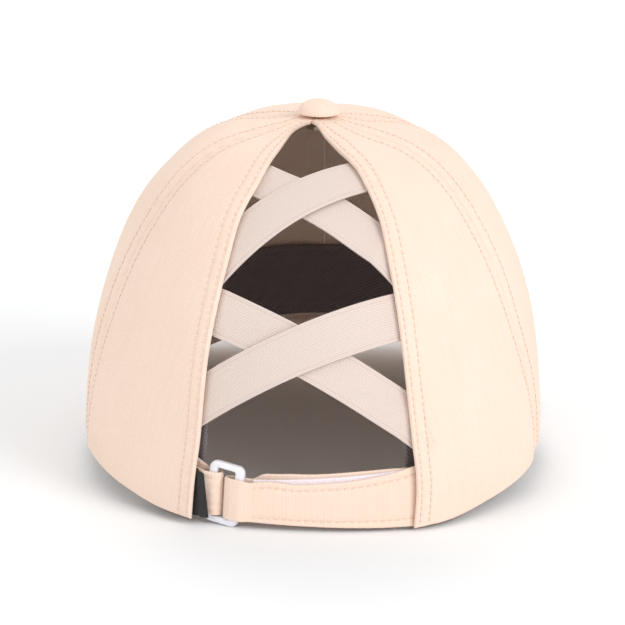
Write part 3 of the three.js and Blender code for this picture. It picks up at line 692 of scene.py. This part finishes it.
def brimStitches(row, under):
    share = np.linspace(-1, 1, 1500)
    reach = brimReach(share)
    keep = reach > row + 2.5
    share = share[keep]
    outward = 1 - row / brimReach(share)
    way = 1 if under else -1
    depths = brimDepths(share, outward)[1 if under else 0]
    line = brimPoint(share, outward, depths + way * thread["lift"])
    above = brimPoint(share, outward, depths + way * (thread["lift"] + 1))
    length = arcLength(line)
    at = np.arange(brim["pitch"], length[-1] - brim["pitch"] / 2, brim["pitch"])
    middle = alongLine(at, length, line)
    way = alongLine(at + 0.8, length, line) - alongLine(at - 0.8, length, line)
    return middle, way, alongLine(at, length, above) - middle


piece = fit(makeBrim(), peachCloth, "crown_cloth", "brim")
brimRows = [brimStitches(row, under) for row in brim["rows"] for under in (False, True)]
fit(stitches("stitching_brim", brimRows, brim["pitch"]), peachThread, "crown_cloth")
print("brim covered")


# Bands of cloth, elastic and tape
def sheetNormal(sheet):
    return unit(np.cross(np.gradient(sheet, axis=0), np.gradient(sheet, axis=1)))


def bandColumns(width, spacing=0.9):  # distances across a band, close together at its edges
    near = np.array([0.01, 0.05, 0.13, 0.26, 0.42, 0.62, 0.9, 1.3, 1.8, 2.2, 2.6, 3.0])
    near = near[near < width / 2 - 0.5]
    count = max(2, int((width - 2 * near[-1]) / spacing))
    middle = np.linspace(near[-1], width - near[-1], count + 1)[1:-1]
    return np.concatenate([near, middle, width - near[::-1]])


def band(name, sheet, across, thickness, relief=0.0, padding=0.0):
    # sheet holds the middle of the cloth, station by station; relief sinks its outer face
    normal = sheetNormal(sheet)
    inset = np.minimum(across, across[-1] + across[0] - across)
    half = (thickness / 2 - roll(inset, thickness / 2))[None, :]
    outer = sheet + normal * (half - relief)[..., None]
    inner = sheet - normal * (half + padding)[..., None]
    along = arcLength(sheet[:, sheet.shape[1] // 2])
    flat = np.stack(np.broadcast_arrays(along[:, None], across[None, :]), -1)
    return skin(name, np.concatenate([outer, inner[:, ::-1]], 1), np.concatenate([flat, flat[:, ::-1]], 1))


def rowOnBand(sheet, across, row, thickness, pitch, start, end, side=1):
    share = np.interp(row, across, np.arange(len(across)))
    k = min(int(share), len(across) - 2)
    line = sheet[:, k] * (1 - share + k) + sheet[:, k + 1] * (share - k)
    normal = side * sheetNormal(sheet)[:, k]
    length = arcLength(line)
    at = np.arange(start, min(end, length[-1]), pitch)
    up = alongLine(at, length, normal)
    middle = alongLine(at, length, line) + up * (thickness / 2 - 0.12 + thread["lift"] * 0.6)
    return middle, alongLine(at + 0.6, length, line) - alongLine(at - 0.6, length, line), up


# Crossed elastic straps
elastic = {
    "width": 16, "thickness": 1.1, "tuck": 8, "crossingDip": 1.9, "rest": 2.4, "stations": 130,
    "stretch": 1.08,
}
# Each strap's two ends, as bearing and share of the height, and whether it passes under the other
crossings = {
    "cross_strap_upper_outer": ((26, 0.443), (-22, 0.653), 0),
    "cross_strap_upper_inner": ((26, 0.628), (-25, 0.45), 1),
    "cross_strap_lower_outer": ((25.8, 0.176), (-25.2, 0.312), 0),
    "cross_strap_lower_inner": ((25.6, 0.309), (-26.5, 0.157), 1),
}


def onCrown(target, inward):  # where a ray from the middle of the rim meets the crown
    bearing = np.degrees(np.arctan2(target[..., 0] / halfWidth, target[..., 1] / halfLength))
    steep = target[..., 2] / np.hypot(target[..., 0], target[..., 1])
    low, high = np.zeros(bearing.shape), np.full(bearing.shape, 0.99)
    for _ in range(26):  # halves the range each time
        rise = (low + high) / 2
        p = crownPoint(bearing, rise, inward)
        under = p[..., 2] / np.hypot(p[..., 0], p[..., 1]) < steep
        low, high = np.where(under, rise, low), np.where(under, high, rise)
    return crownPoint(bearing, low, inward)


def hemSlant(side, end, along, widthwise):  # how far a strap's end runs on, for each step across it
    rise = end[1]
    above, below = rise + 0.02, rise - 0.02
    hem = crownPoint(openingEdge(side, above), above) - crownPoint(openingEdge(side, below), below)
    return float(hem @ unit(along)) / float(hem @ widthwise)


def elasticStrap(name, left, right, dips):
    start, end = crownPoint(*left), crownPoint(*right)
    a, b = unit(start), unit(end)
    angle = math.acos(a @ b)
    length = np.linalg.norm(start) * angle
    across = bandColumns(elastic["width"], 0.8)
    spread = across - elastic["width"] / 2
    widthwise = unit(np.cross(a, b))
    slants = [hemSlant(side, end, b - a, widthwise) for side, end in ((1, left), (-1, right))]
    first = (-elastic["tuck"] + slants[0] * spread) / length
    last = 1 + (elastic["tuck"] + slants[1] * spread) / length
    share = first + np.linspace(0, 1, elastic["stations"])[:, None] * (last - first)
    way = np.sin((1 - share) * angle)[..., None] * a + np.sin(share * angle)[..., None] * b
    middle = onCrown(way, np.zeros(share.shape))
    target = middle + widthwise * spread[None, :, None]
    between = np.clip(share, 0, 1)
    dip = dips * elastic["crossingDip"] * (1 - (2 * between - 1) ** 4)
    depth = elastic["rest"] + elastic["thickness"] / 2 + dip
    sheet = onCrown(target, depth)
    inset = np.minimum(across, elastic["width"] - across)
    # a furrow inside each edge, then the firm selvedge
    selvedge = 0.12 * bell(inset - 1.5, 0.35) - 0.05 * bell(inset - 0.8, 0.4)
    piece = band("elastic_" + name, sheet, across, elastic["thickness"] - 0.1, selvedge[None, :])
    fit(piece, elasticBraid, "elastic", name)


for name, (left, right, dips) in crossings.items():
    elasticStrap(name, left, right, dips)
print("elastic straps crossed")

# Sweatband
sweatband = {
    "height": 30, "thickness": 1.2, "rimGap": 1.6, "endBearing": 28.3, "endInset": 8.8, "inset": 2.0,
    "insetFrom": 34, "insetTo": 48, "padding": 0.45, "stations": 420, "pitch": 2.8,
    "lowerRow": 3.2, "upperRow": 3.0, "rowLift": 0.35,
}


def makeSweatband():
    bearing = np.linspace(sweatband["endBearing"], 360 - sweatband["endBearing"], sweatband["stations"])
    side = abs((bearing + 180) % 360 - 180)
    t = np.clip((side - sweatband["insetFrom"]) / (sweatband["insetTo"] - sweatband["insetFrom"]), 0, 1)
    inset = sweatband["endInset"] + (sweatband["inset"] - sweatband["endInset"]) * t * t * (3 - 2 * t)
    tall = sweatband["height"] - sweatband["rimGap"]
    across = bandColumns(tall, 1.1)
    rise = (sweatband["rimGap"] + across) / crown["height"] / 1.9
    sheet = crownPoint(bearing[:, None], rise[None, :], (inset + sweatband["thickness"] / 2)[:, None])
    seams = bell(across - sweatband["lowerRow"], 0.5) + bell(tall - across - sweatband["upperRow"], 0.5)
    bulge = sweatband["padding"] * np.clip(np.sin(math.pi * across / tall), 0, 1) ** 0.5
    pad = (bulge - 0.3 * seams)[None, :] * np.ones((len(bearing), 1))
    way = sheetNormal(sheet)[0, 0] @ unit(sheet[0, 0] * np.array([1, 1, 0]))
    if way > 0:
        piece = band("cloth_sweatband", sheet, across, sweatband["thickness"], 0.0, pad)
    else:
        piece = band("cloth_sweatband", sheet, across, sweatband["thickness"], -pad, 0.0)
    fit(piece, greyTwill, "sweatband_cloth", "sweatband")
    length = arcLength(sheet[:, 0])[-1]
    facing = -1 if way > 0 else 1
    face = sweatband["thickness"] + sweatband["rowLift"]
    rows = [rowOnBand(sheet, across, row, face, sweatband["pitch"], 2, length - 2, facing)
            for row in (sweatband["lowerRow"], tall - sweatband["upperRow"])]
    fit(stitches("stitching_sweatband", rows, sweatband["pitch"]), greyThread, "sweatband_cloth")


makeSweatband()
print("sweatband sewn in")

# Closure: strap, tab, fastening, label and ring
closure = {
    "rootWidth": 19.5, "tipWidth": 14.8, "tabWidth": 15.4, "ply": 1.1, "patch": 0.9, "patchFrom": 0.5,
    "patchTo": -1.02, "patchBottom": 3.2, "patchNarrower": 2.9, "flatten": 5, "tuck": 8, "innerEnd": -1.08,
    "gap": 0.3, "strapEase": 1.55, "tabEase": 0.1, "foldsAside": 1.0, "hemWall": 2.1, "pitch": 2.6,
    "rowInset": 2.3, "innerNarrower": 1.2, "tabDroop": 1.3, "tabRide": 3.4, "tabLower": 0.6, "pleats": 0.16,
    "stationGap": 0.6, "strapSmoothing": 3, "tabSmoothing": 6,
}
ring = {
    "fromEdge": 10, "width": 13, "height": 22, "bar": 3.1, "rail": 2.3, "thickness": 2.4, "corner": 2.6,
    "rounding": 0.75, "askew": 5, "aside": 0.3, "lift": 0.3,  # askew in degrees, as it hangs in its folds
}
foldHeights = {"strap": 8.2, "ring": 9, "tab": 9.6}  # middles above the rim, where they meet the ring
# Along the opening from its right edge to the ring: how far the outer ply's top edge sags, and how high
# the inner ply rides
strapRun = np.array([
    (-48, -1.4, 0.2), (-40, -1.3, 0.3), (-32, 0, 0.9), (-19.6, 1.3, 1.1), (-8, 1.7, 1.0), (2.6, 1.8, 1.2),
    (13, 0.7, 1.7), (19, 1.3, 2.3), (23.5, 1.7, 2.4), (27, 0.2, 0.6), (30, 0, 0),
])
label = {
    "width": 5, "height": 17.5, "thickness": 0.8, "standOff": 1.2, "slant": 2, "lift": 0.6,
    "topNarrower": 0.7,
}

edgeX = halfWidth * math.sin(math.radians(float(openingEdge(1, 0.0))))
ringX = edgeX - ring["fromEdge"]


def closurePoint(x, height, inward):  # on the crown's back, drawn tight across the opening
    x, height, inward = np.broadcast_arrays(*(np.asarray(v, float) for v in (x, height, inward)))
    turn = np.arcsin((np.maximum(height, 0) / crown["height"]) ** (crown["topRoundness"] / 2))
    rise = 1 - (1 - turn / (math.pi / 2)) ** (2 / crown["backFullness"])
    tight = closure["flatten"] * np.maximum(0, 1 - (x / edgeX) ** 2)
    return crownPoint(np.degrees(np.arcsin(x / halfWidth)), rise, inward + tight)


foldRadius = ring["thickness"] / 2 + closure["gap"] + closure["ply"] / 2
strapInset = closure["hemWall"] + closure["gap"] + closure["ply"] / 2
ringCentre = closurePoint(ringX, foldHeights["ring"], strapInset + foldRadius)
ringOut = closurePoint(ringX, foldHeights["ring"], 0) - closurePoint(ringX, foldHeights["ring"], 1)
ringBeside = [closurePoint(ringX + step, foldHeights["ring"], 0) for step in (-1, 1)]
ringAlong = ringBeside[1] - ringBeside[0]
ringUp = unit(np.cross(ringAlong, ringOut))
ringOut = unit(ringOut)
ringAlong = np.cross(ringOut, ringUp)
foldReach = ring["width"] / 2 + closure["gap"]


def strapWidth(x):
    change = closure["tipWidth"] - closure["rootWidth"]
    return closure["rootWidth"] + change * (x + edgeX) / (ringX + edgeX)


def foldRound(side, width, height, looser):  # round one of the ring's bars, from outside to inside
    turnPoint = ring["width"] / 2 - ring["bar"] + closure["gap"] / 2
    angle = math.pi * (0.5 - np.linspace(0, 1, 15))
    along = np.concatenate([[foldReach], turnPoint - (foldRadius + looser) * np.cos(angle), [foldReach]])
    out = np.concatenate([[foldRadius], foldRadius * np.sin(angle), [-foldRadius]])
    aside = (side * along + closure["foldsAside"])[:, None]
    middle = (ringCentre + ringAlong * aside + ringOut * out[:, None]
              + ringUp * (height - foldHeights["ring"]))
    return middle - ringUp * width / 2, middle + ringUp * width / 2


def stations(x, inward, bottom, width):  # lower and upper edge of a strap laid along the opening
    return closurePoint(x, bottom, inward), closurePoint(x, bottom + width, inward)


def evenOut(low, high, spacing, smooth):  # spaces the stations evenly and eases their bends
    length = arcLength((low + high) / 2)
    at = np.linspace(0, length[-1], int(length[-1] / spacing))
    low, high = alongLine(at, length, low), alongLine(at, length, high)
    for _ in range(smooth):
        for side in (low, high):
            side[1:-1] = side[1:-1] / 2 + (side[:-2] + side[2:]) / 4
    return low, high


def spanned(low, high, across):  # a sheet between a band's two edges
    share = across / (across[-1] + across[0])
    return low[:, None] * (1 - share[None, :, None]) + high[:, None] * share[None, :, None]


def closureStrap():
    foldStart = ringX - foldReach - 1.5
    foldBottom = foldHeights["strap"] - closure["tipWidth"] / 2

    def bottom(x):
        return np.maximum(0, foldBottom * (x + edgeX) / (foldStart + edgeX))

    x = np.linspace(-edgeX - closure["tuck"], foldStart, 90)
    sag = alongTable(strapRun[:, 0], strapRun[:, 1], x)
    outer = stations(x, strapInset, bottom(x), strapWidth(x) - sag)
    fold = foldRound(-1, closure["tipWidth"], foldHeights["strap"], closure["strapEase"])
    u = np.linspace(0, 1, 60)
    x = foldStart + (closure["innerEnd"] * edgeX - foldStart) * u
    settled = closure["ply"] + closure["patch"] + 2 * closure["gap"]
    spread = 2 * foldRadius + (settled - 2 * foldRadius) * np.minimum(1, 3 * u)
    lift = alongTable(strapRun[:, 0], strapRun[:, 2], x) * np.minimum(1, 14 * u)
    narrower = closure["innerNarrower"]
    raised = bottom(x) + narrower * np.minimum(1, 4 * u)
    inner = stations(x, strapInset + spread, raised, strapWidth(x) - narrower + lift)
    low, high = (np.concatenate(part) for part in zip(outer, fold, inner))
    low, high = evenOut(low, high, closure["stationGap"], closure["strapSmoothing"])
    across = bandColumns(closure["tipWidth"] + 1.5)
    sheet = spanned(low, high, across)
    middle = arcLength(sheet[:, len(across) // 2])
    plies = arcLength(np.concatenate([(outer[0] + outer[1]) / 2]))[-1]
    onOuter = ledge(middle, plies - 2, 4)[:, None]
    inset = np.minimum(across, across[-1] - across)[None, :]
    relief = 0.22 * bell(inset - closure["rowInset"], 0.6) * onOuter
    way = sheetNormal(sheet)[20, 5] @ np.array([0, 1, 0])
    if way < 0:
        sheet = sheet[:, ::-1]
    piece = band("cloth_closure_strap", sheet, across, closure["ply"] - 0.05, relief)
    fit(piece, peachCloth, "crown_cloth", "closure_strap")
    return [rowOnBand(sheet, across, row, closure["ply"], closure["pitch"], 9, plies - 1)
            for row in (closure["rowInset"], across[-1] - closure["rowInset"])]


labelInset = closure["hemWall"] + closure["gap"] + label["thickness"] / 2
tabInset = labelInset + label["thickness"] / 2 + closure["gap"] + closure["ply"] / 2
foldEnd = ringX + foldReach + 0.5
hemX = halfWidth * math.sin(math.radians(float(openingEdge(1, 0.07)))) - closure["gap"]


def pastHem(x):  # 0 under the hem, 1 at the ring's fold
    return np.clip((hemX - x) / (hemX - foldEnd), 0, 1)


def closureTab():
    sewnEnd = edgeX + closure["tuck"]
    bottom = foldHeights["tab"] - closure["tabWidth"] / 2
    x = np.linspace(sewnEnd, foldEnd, 26)
    droop = closure["tabDroop"] * np.clip((x - foldEnd) / 8, 0, 1)
    inset = tabInset + (strapInset - tabInset) * pastHem(x)
    outer = stations(x, inset, bottom - closure["tabLower"], closure["tabWidth"] + droop)
    fold = foldRound(1, closure["tabWidth"], foldHeights["tab"] - closure["tabLower"], closure["tabEase"])
    x = x[::-1]
    sewn = tabInset + closure["ply"] + closure["gap"]
    spread = np.clip((sewnEnd - x) / (sewnEnd - foldEnd), 0, 1)
    ride = closure["tabRide"] * np.clip((x - foldEnd) / 6, 0, 1)
    inset = sewn + (strapInset + 2 * foldRadius - sewn) * spread
    inner = stations(x, inset, bottom, closure["tabWidth"] + ride)
    low, high = (np.concatenate(part) for part in zip(outer, fold, inner))
    low, high = evenOut(low, high, closure["stationGap"], closure["tabSmoothing"])
    across = bandColumns(closure["tabWidth"])
    sheet = spanned(low, high, across)
    if sheetNormal(sheet)[10, 5] @ np.array([0, 1, 0]) < 0:
        sheet = sheet[:, ::-1]
    length = arcLength(sheet[:, 5])
    wave = np.sin(across * 2.1 + 0.6 * np.sin(length / 3)[:, None])
    pleats = closure["pleats"] * wave * bell(length - 12, 6)[:, None]
    piece = band("cloth_closure_tab", sheet, across, closure["ply"] - 0.05, pleats)
    fit(piece, peachCloth, "crown_cloth", "closure_tab")


def fasteningPatch():
    inward = strapInset + closure["ply"] / 2 + closure["gap"] + closure["patch"] / 2
    x = np.linspace(closure["patchFrom"], closure["patchTo"], 70) * edgeX
    low, high = stations(x, inward, closure["patchBottom"], strapWidth(x) - closure["patchNarrower"])
    across = bandColumns(15)
    sheet = spanned(low, high, across)
    length = arcLength(sheet[:, 5])
    loops = 0.06 * np.sin(length * 2.4)[:, None] * np.sin(across * 2.7)[None, :]
    piece = band("loop_fastening_patch", sheet, across, closure["patch"], loops)
    fit(piece, loopTape, "fastening", "fastening_patch")


def sideLabel():  # a tape folded double, with its fold at the tip and both ends sewn in
    root, tip = edgeX + 1.5, edgeX - label["width"]
    ply = label["thickness"] / 2 - 0.02
    turn = np.linspace(0, math.pi, 9)[1:-1]
    reach = np.linspace(root, tip + ply, 24)
    x = np.concatenate([reach, tip + ply * (1 - np.sin(turn)), reach[::-1]])
    beside = np.concatenate([np.ones(24), np.cos(turn), -np.ones(24)]) * (ply + 0.04) / 2
    inward = labelInset - label["standOff"] * pastHem(x) - beside
    slant = label["slant"] * (root - x) / (root - tip)
    low, high = stations(x, inward, label["lift"] + slant / 6, label["height"] - slant)
    narrowed = root + (x - root) * label["topNarrower"]
    high = closurePoint(narrowed, label["height"] + label["lift"] - slant, inward)
    across = bandColumns(label["height"] - 1, 0.7)
    sheet = spanned(low, high, across)
    if sheetNormal(sheet)[5, 5] @ np.array([0, 1, 0]) < 0:
        sheet = sheet[:, ::-1]
    piece = band("tape_side_label", sheet, across, ply)
    fit(piece, blackTape, "label_cloth", "side_label")


def boxBlock(size, corner, segments):  # a cube with its upright edges rounded
    bpy.ops.object.select_all(action="DESELECT")
    bpy.ops.mesh.primitive_cube_add(size=1)
    block = bpy.context.object
    bpy.ops.object.mode_set(mode="EDIT")
    bpy.ops.transform.resize(value=[v / 1000 for v in size], center_override=(0, 0, 0))
    bpy.ops.mesh.select_all(action="DESELECT")
    bpy.ops.mesh.select_mode(type="EDGE")
    bpy.ops.object.mode_set(mode="OBJECT")
    for edge in block.data.edges:
        a, b = (block.data.vertices[k].co for k in edge.vertices)
        edge.select = abs(a.x - b.x) < 1e-6 and abs(a.y - b.y) < 1e-6
    bpy.ops.object.mode_set(mode="EDIT")
    bpy.ops.mesh.bevel(offset=corner / 1000, segments=segments)
    bpy.ops.object.mode_set(mode="OBJECT")
    return block


def closureRing():
    block = boxBlock((ring["width"], ring["height"], ring["thickness"]), ring["corner"], 8)
    block.name = "closure_ring_moulded"
    opening = (ring["width"] - 2 * ring["bar"], ring["height"] - 2 * ring["rail"], 20)
    hole = boxBlock(opening, ring["corner"] / 4, 5)
    cut = block.modifiers.new("hole", "BOOLEAN")
    cut.object, cut.operation, cut.solver = hole, "DIFFERENCE", "EXACT"
    soft = block.modifiers.new("softEdges", "BEVEL")
    soft.width, soft.segments, soft.limit_method = ring["rounding"] / 1000, 4, "ANGLE"
    soft.angle_limit = math.radians(50)
    bpy.ops.object.select_all(action="DESELECT")
    block.select_set(True)
    bpy.context.view_layer.objects.active = block
    for name in ("hole", "softEdges"):
        bpy.ops.object.modifier_apply(modifier=name)
    bpy.data.objects.remove(hole)
    bpy.ops.object.shade_smooth_by_angle(angle=math.radians(40))
    turn = Matrix.Rotation(seating["tilt"], 3, "X")
    axes = Matrix([Vector(v) for v in (ringAlong, ringUp, -ringOut)]).transposed()
    aside = ringAlong * (closure["foldsAside"] + ring["aside"])
    spot = Vector(toRow(ringCentre + aside + ringUp * ring["lift"]))
    askew = Matrix.Rotation(math.radians(ring["askew"]), 3, "Z")
    block.data.transform(Matrix.Translation(spot) @ (turn @ axes @ askew).to_4x4())
    fit(block, whiteAcetal, "ring_plastic", "closure_ring")


strapRows = closureStrap()
closureTab()
fasteningPatch()
sideLabel()
closureRing()
fit(stitches("stitching_closure", strapRows, closure["pitch"]), peachThread, "crown_cloth")
print("closure threaded through its ring")

# Button
button = {"radius": 7.6, "dome": 4.8, "seat": 0.9, "gap": 0.3, "gathers": 17, "gather": 0.1}


def coverButton():
    bpy.ops.object.select_all(action="DESELECT")
    bpy.ops.mesh.primitive_uv_sphere_add(segments=72, ring_count=36, radius=button["radius"] / 1000)
    piece = bpy.context.object
    piece.name = "cloth_top_button"
    for half, height in ((1, button["dome"]), (-1, button["seat"])):
        bpy.ops.object.mode_set(mode="EDIT")
        bpy.ops.mesh.select_all(action="DESELECT")
        bpy.ops.mesh.select_mode(type="VERT")
        bpy.ops.object.mode_set(mode="OBJECT")
        for v in piece.data.vertices:
            v.select = v.co.z * half > 1e-7
        bpy.ops.object.mode_set(mode="EDIT")
        bpy.ops.transform.resize(value=(1, 1, height / button["radius"]), center_override=(0, 0, 0))
        bpy.ops.object.mode_set(mode="OBJECT")
    co = np.zeros(len(piece.data.vertices) * 3)
    piece.data.vertices.foreach_get("co", co)
    co = co.reshape(-1, 3) * 1000
    r, turn = np.hypot(co[:, 0], co[:, 1]), np.arctan2(co[:, 1], co[:, 0])
    # the cloth is gathered under the button's rim
    wave = np.sin(turn * button["gathers"] + np.sin(turn * 3))
    gathers = button["gather"] * wave * bell(co[:, 2] + 0.2, 0.9)
    co[:, :2] *= (1 + gathers / np.maximum(r, 1))[:, None]
    layer = piece.data.uv_layers.new(name="cloth")
    corner = np.zeros(len(piece.data.loops), int)
    piece.data.loops.foreach_get("vertex_index", corner)
    layer.data.foreach_set("uv", co[corner][:, :2].astype(np.float32).ravel())
    placed = co + crownPoint(0, 1) + np.array([0, 0, button["gap"] + button["seat"]])
    piece.data.vertices.foreach_set("co", toRow(placed).ravel())
    piece.data.update()
    bpy.ops.object.shade_smooth()
    fit(piece, peachCloth, "crown_cloth", "top_button")


coverButton()
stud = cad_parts["button_stud"]
stud.data.materials.clear()
stud.data.materials.append(studSteel)
print("button covered")

# Camera, floor and light
camera = {"elevation": 17.0, "turn": 1.97, "roll": 1.0, "distance": 1000, "aim": 45.1, "focal": 2730,
          "centreX": 315.1, "centreY": 312.5, "frame": 625}


def placeCamera():
    azimuth, tall = math.radians(180 + camera["turn"]), math.radians(camera["elevation"])
    back = Vector((math.sin(azimuth) * math.cos(tall), -math.cos(azimuth) * math.cos(tall), math.sin(tall)))
    right = (-back).cross(Vector((0, 0, 1))).normalized()
    up = right.cross(-back)
    r = math.radians(camera["roll"])
    right, up = right * math.cos(r) + up * math.sin(r), up * math.cos(r) - right * math.sin(r)
    turn = Matrix.Rotation(seating["tilt"], 3, "X") @ Matrix((right, up, back)).transposed()
    spot = np.array([0, 0, camera["aim"]]) + np.array(back) * camera["distance"]
    lens = bpy.data.cameras.new("photoCamera")
    lens.sensor_width = 36
    lens.lens = camera["focal"] / camera["frame"] * 36
    lens.shift_x = -(camera["centreX"] - camera["frame"] / 2) / camera["frame"]
    lens.shift_y = (camera["centreY"] - camera["frame"] / 2) / camera["frame"]
    lens.clip_start, lens.clip_end = 0.01, 100
    made = bpy.data.objects.new("photoCamera", lens)
    made.matrix_world = Matrix.Translation(Vector(toRow(spot))) @ turn.to_4x4()
    bpy.context.scene.collection.objects.link(made)
    bpy.context.scene.camera = made


studio = {
    "sky": 0.78, "floor": "#F4F5F6",
    "lamps": (
        ("key", (-1.5, 1.3, 1.2), 1.2, 21.5),
        ("fill", (1.5, 1.2, 0.8), 1.4, 6.5),
        ("front", (0.3, -1.6, 1.6), 1.4, 9.0),
    ),
}


def setStudio():
    bpy.ops.object.select_all(action="DESELECT")
    bpy.ops.mesh.primitive_plane_add(size=60, location=(0, 0, 0))
    floor = bpy.context.object
    floor.name = "studioFloor"
    finish, tree, shader = newFinish("paintedFloor", {"Roughness": 0.9, "Specular IOR Level": 0.1})
    place = addNode(tree, "ShaderNodeTexCoord").outputs["Object"]
    haze = addNode(tree, "ShaderNodeTexNoise", {"Vector": place, "Scale": 3.0, "Detail": 2.0})
    tree.links.new(blendTones(tree, haze.outputs["Fac"], tone(studio["floor"]), tone("#F8F9FA")),
                   shader.inputs["Base Color"])
    floor.data.materials.append(finish)
    world = bpy.data.worlds.new("studioSky")
    world.use_nodes = True
    world.node_tree.nodes["Background"].inputs[0].default_value = (1, 1, 1, 1)
    world.node_tree.nodes["Background"].inputs[1].default_value = studio["sky"]
    bpy.context.scene.world = world
    for name, spot, size, power in studio["lamps"]:
        lamp = bpy.data.lights.new(name, "AREA")
        lamp.shape, lamp.size, lamp.energy = "DISK", size, power
        made = bpy.data.objects.new(name, lamp)
        made.location = spot
        made.rotation_euler = (Vector((0, 0, 0.06)) - Vector(spot)).to_track_quat("-Z", "Y").to_euler()
        bpy.context.scene.collection.objects.link(made)


placeCamera()
setStudio()
print("camera and light set")

bpy.context.view_layer.update()
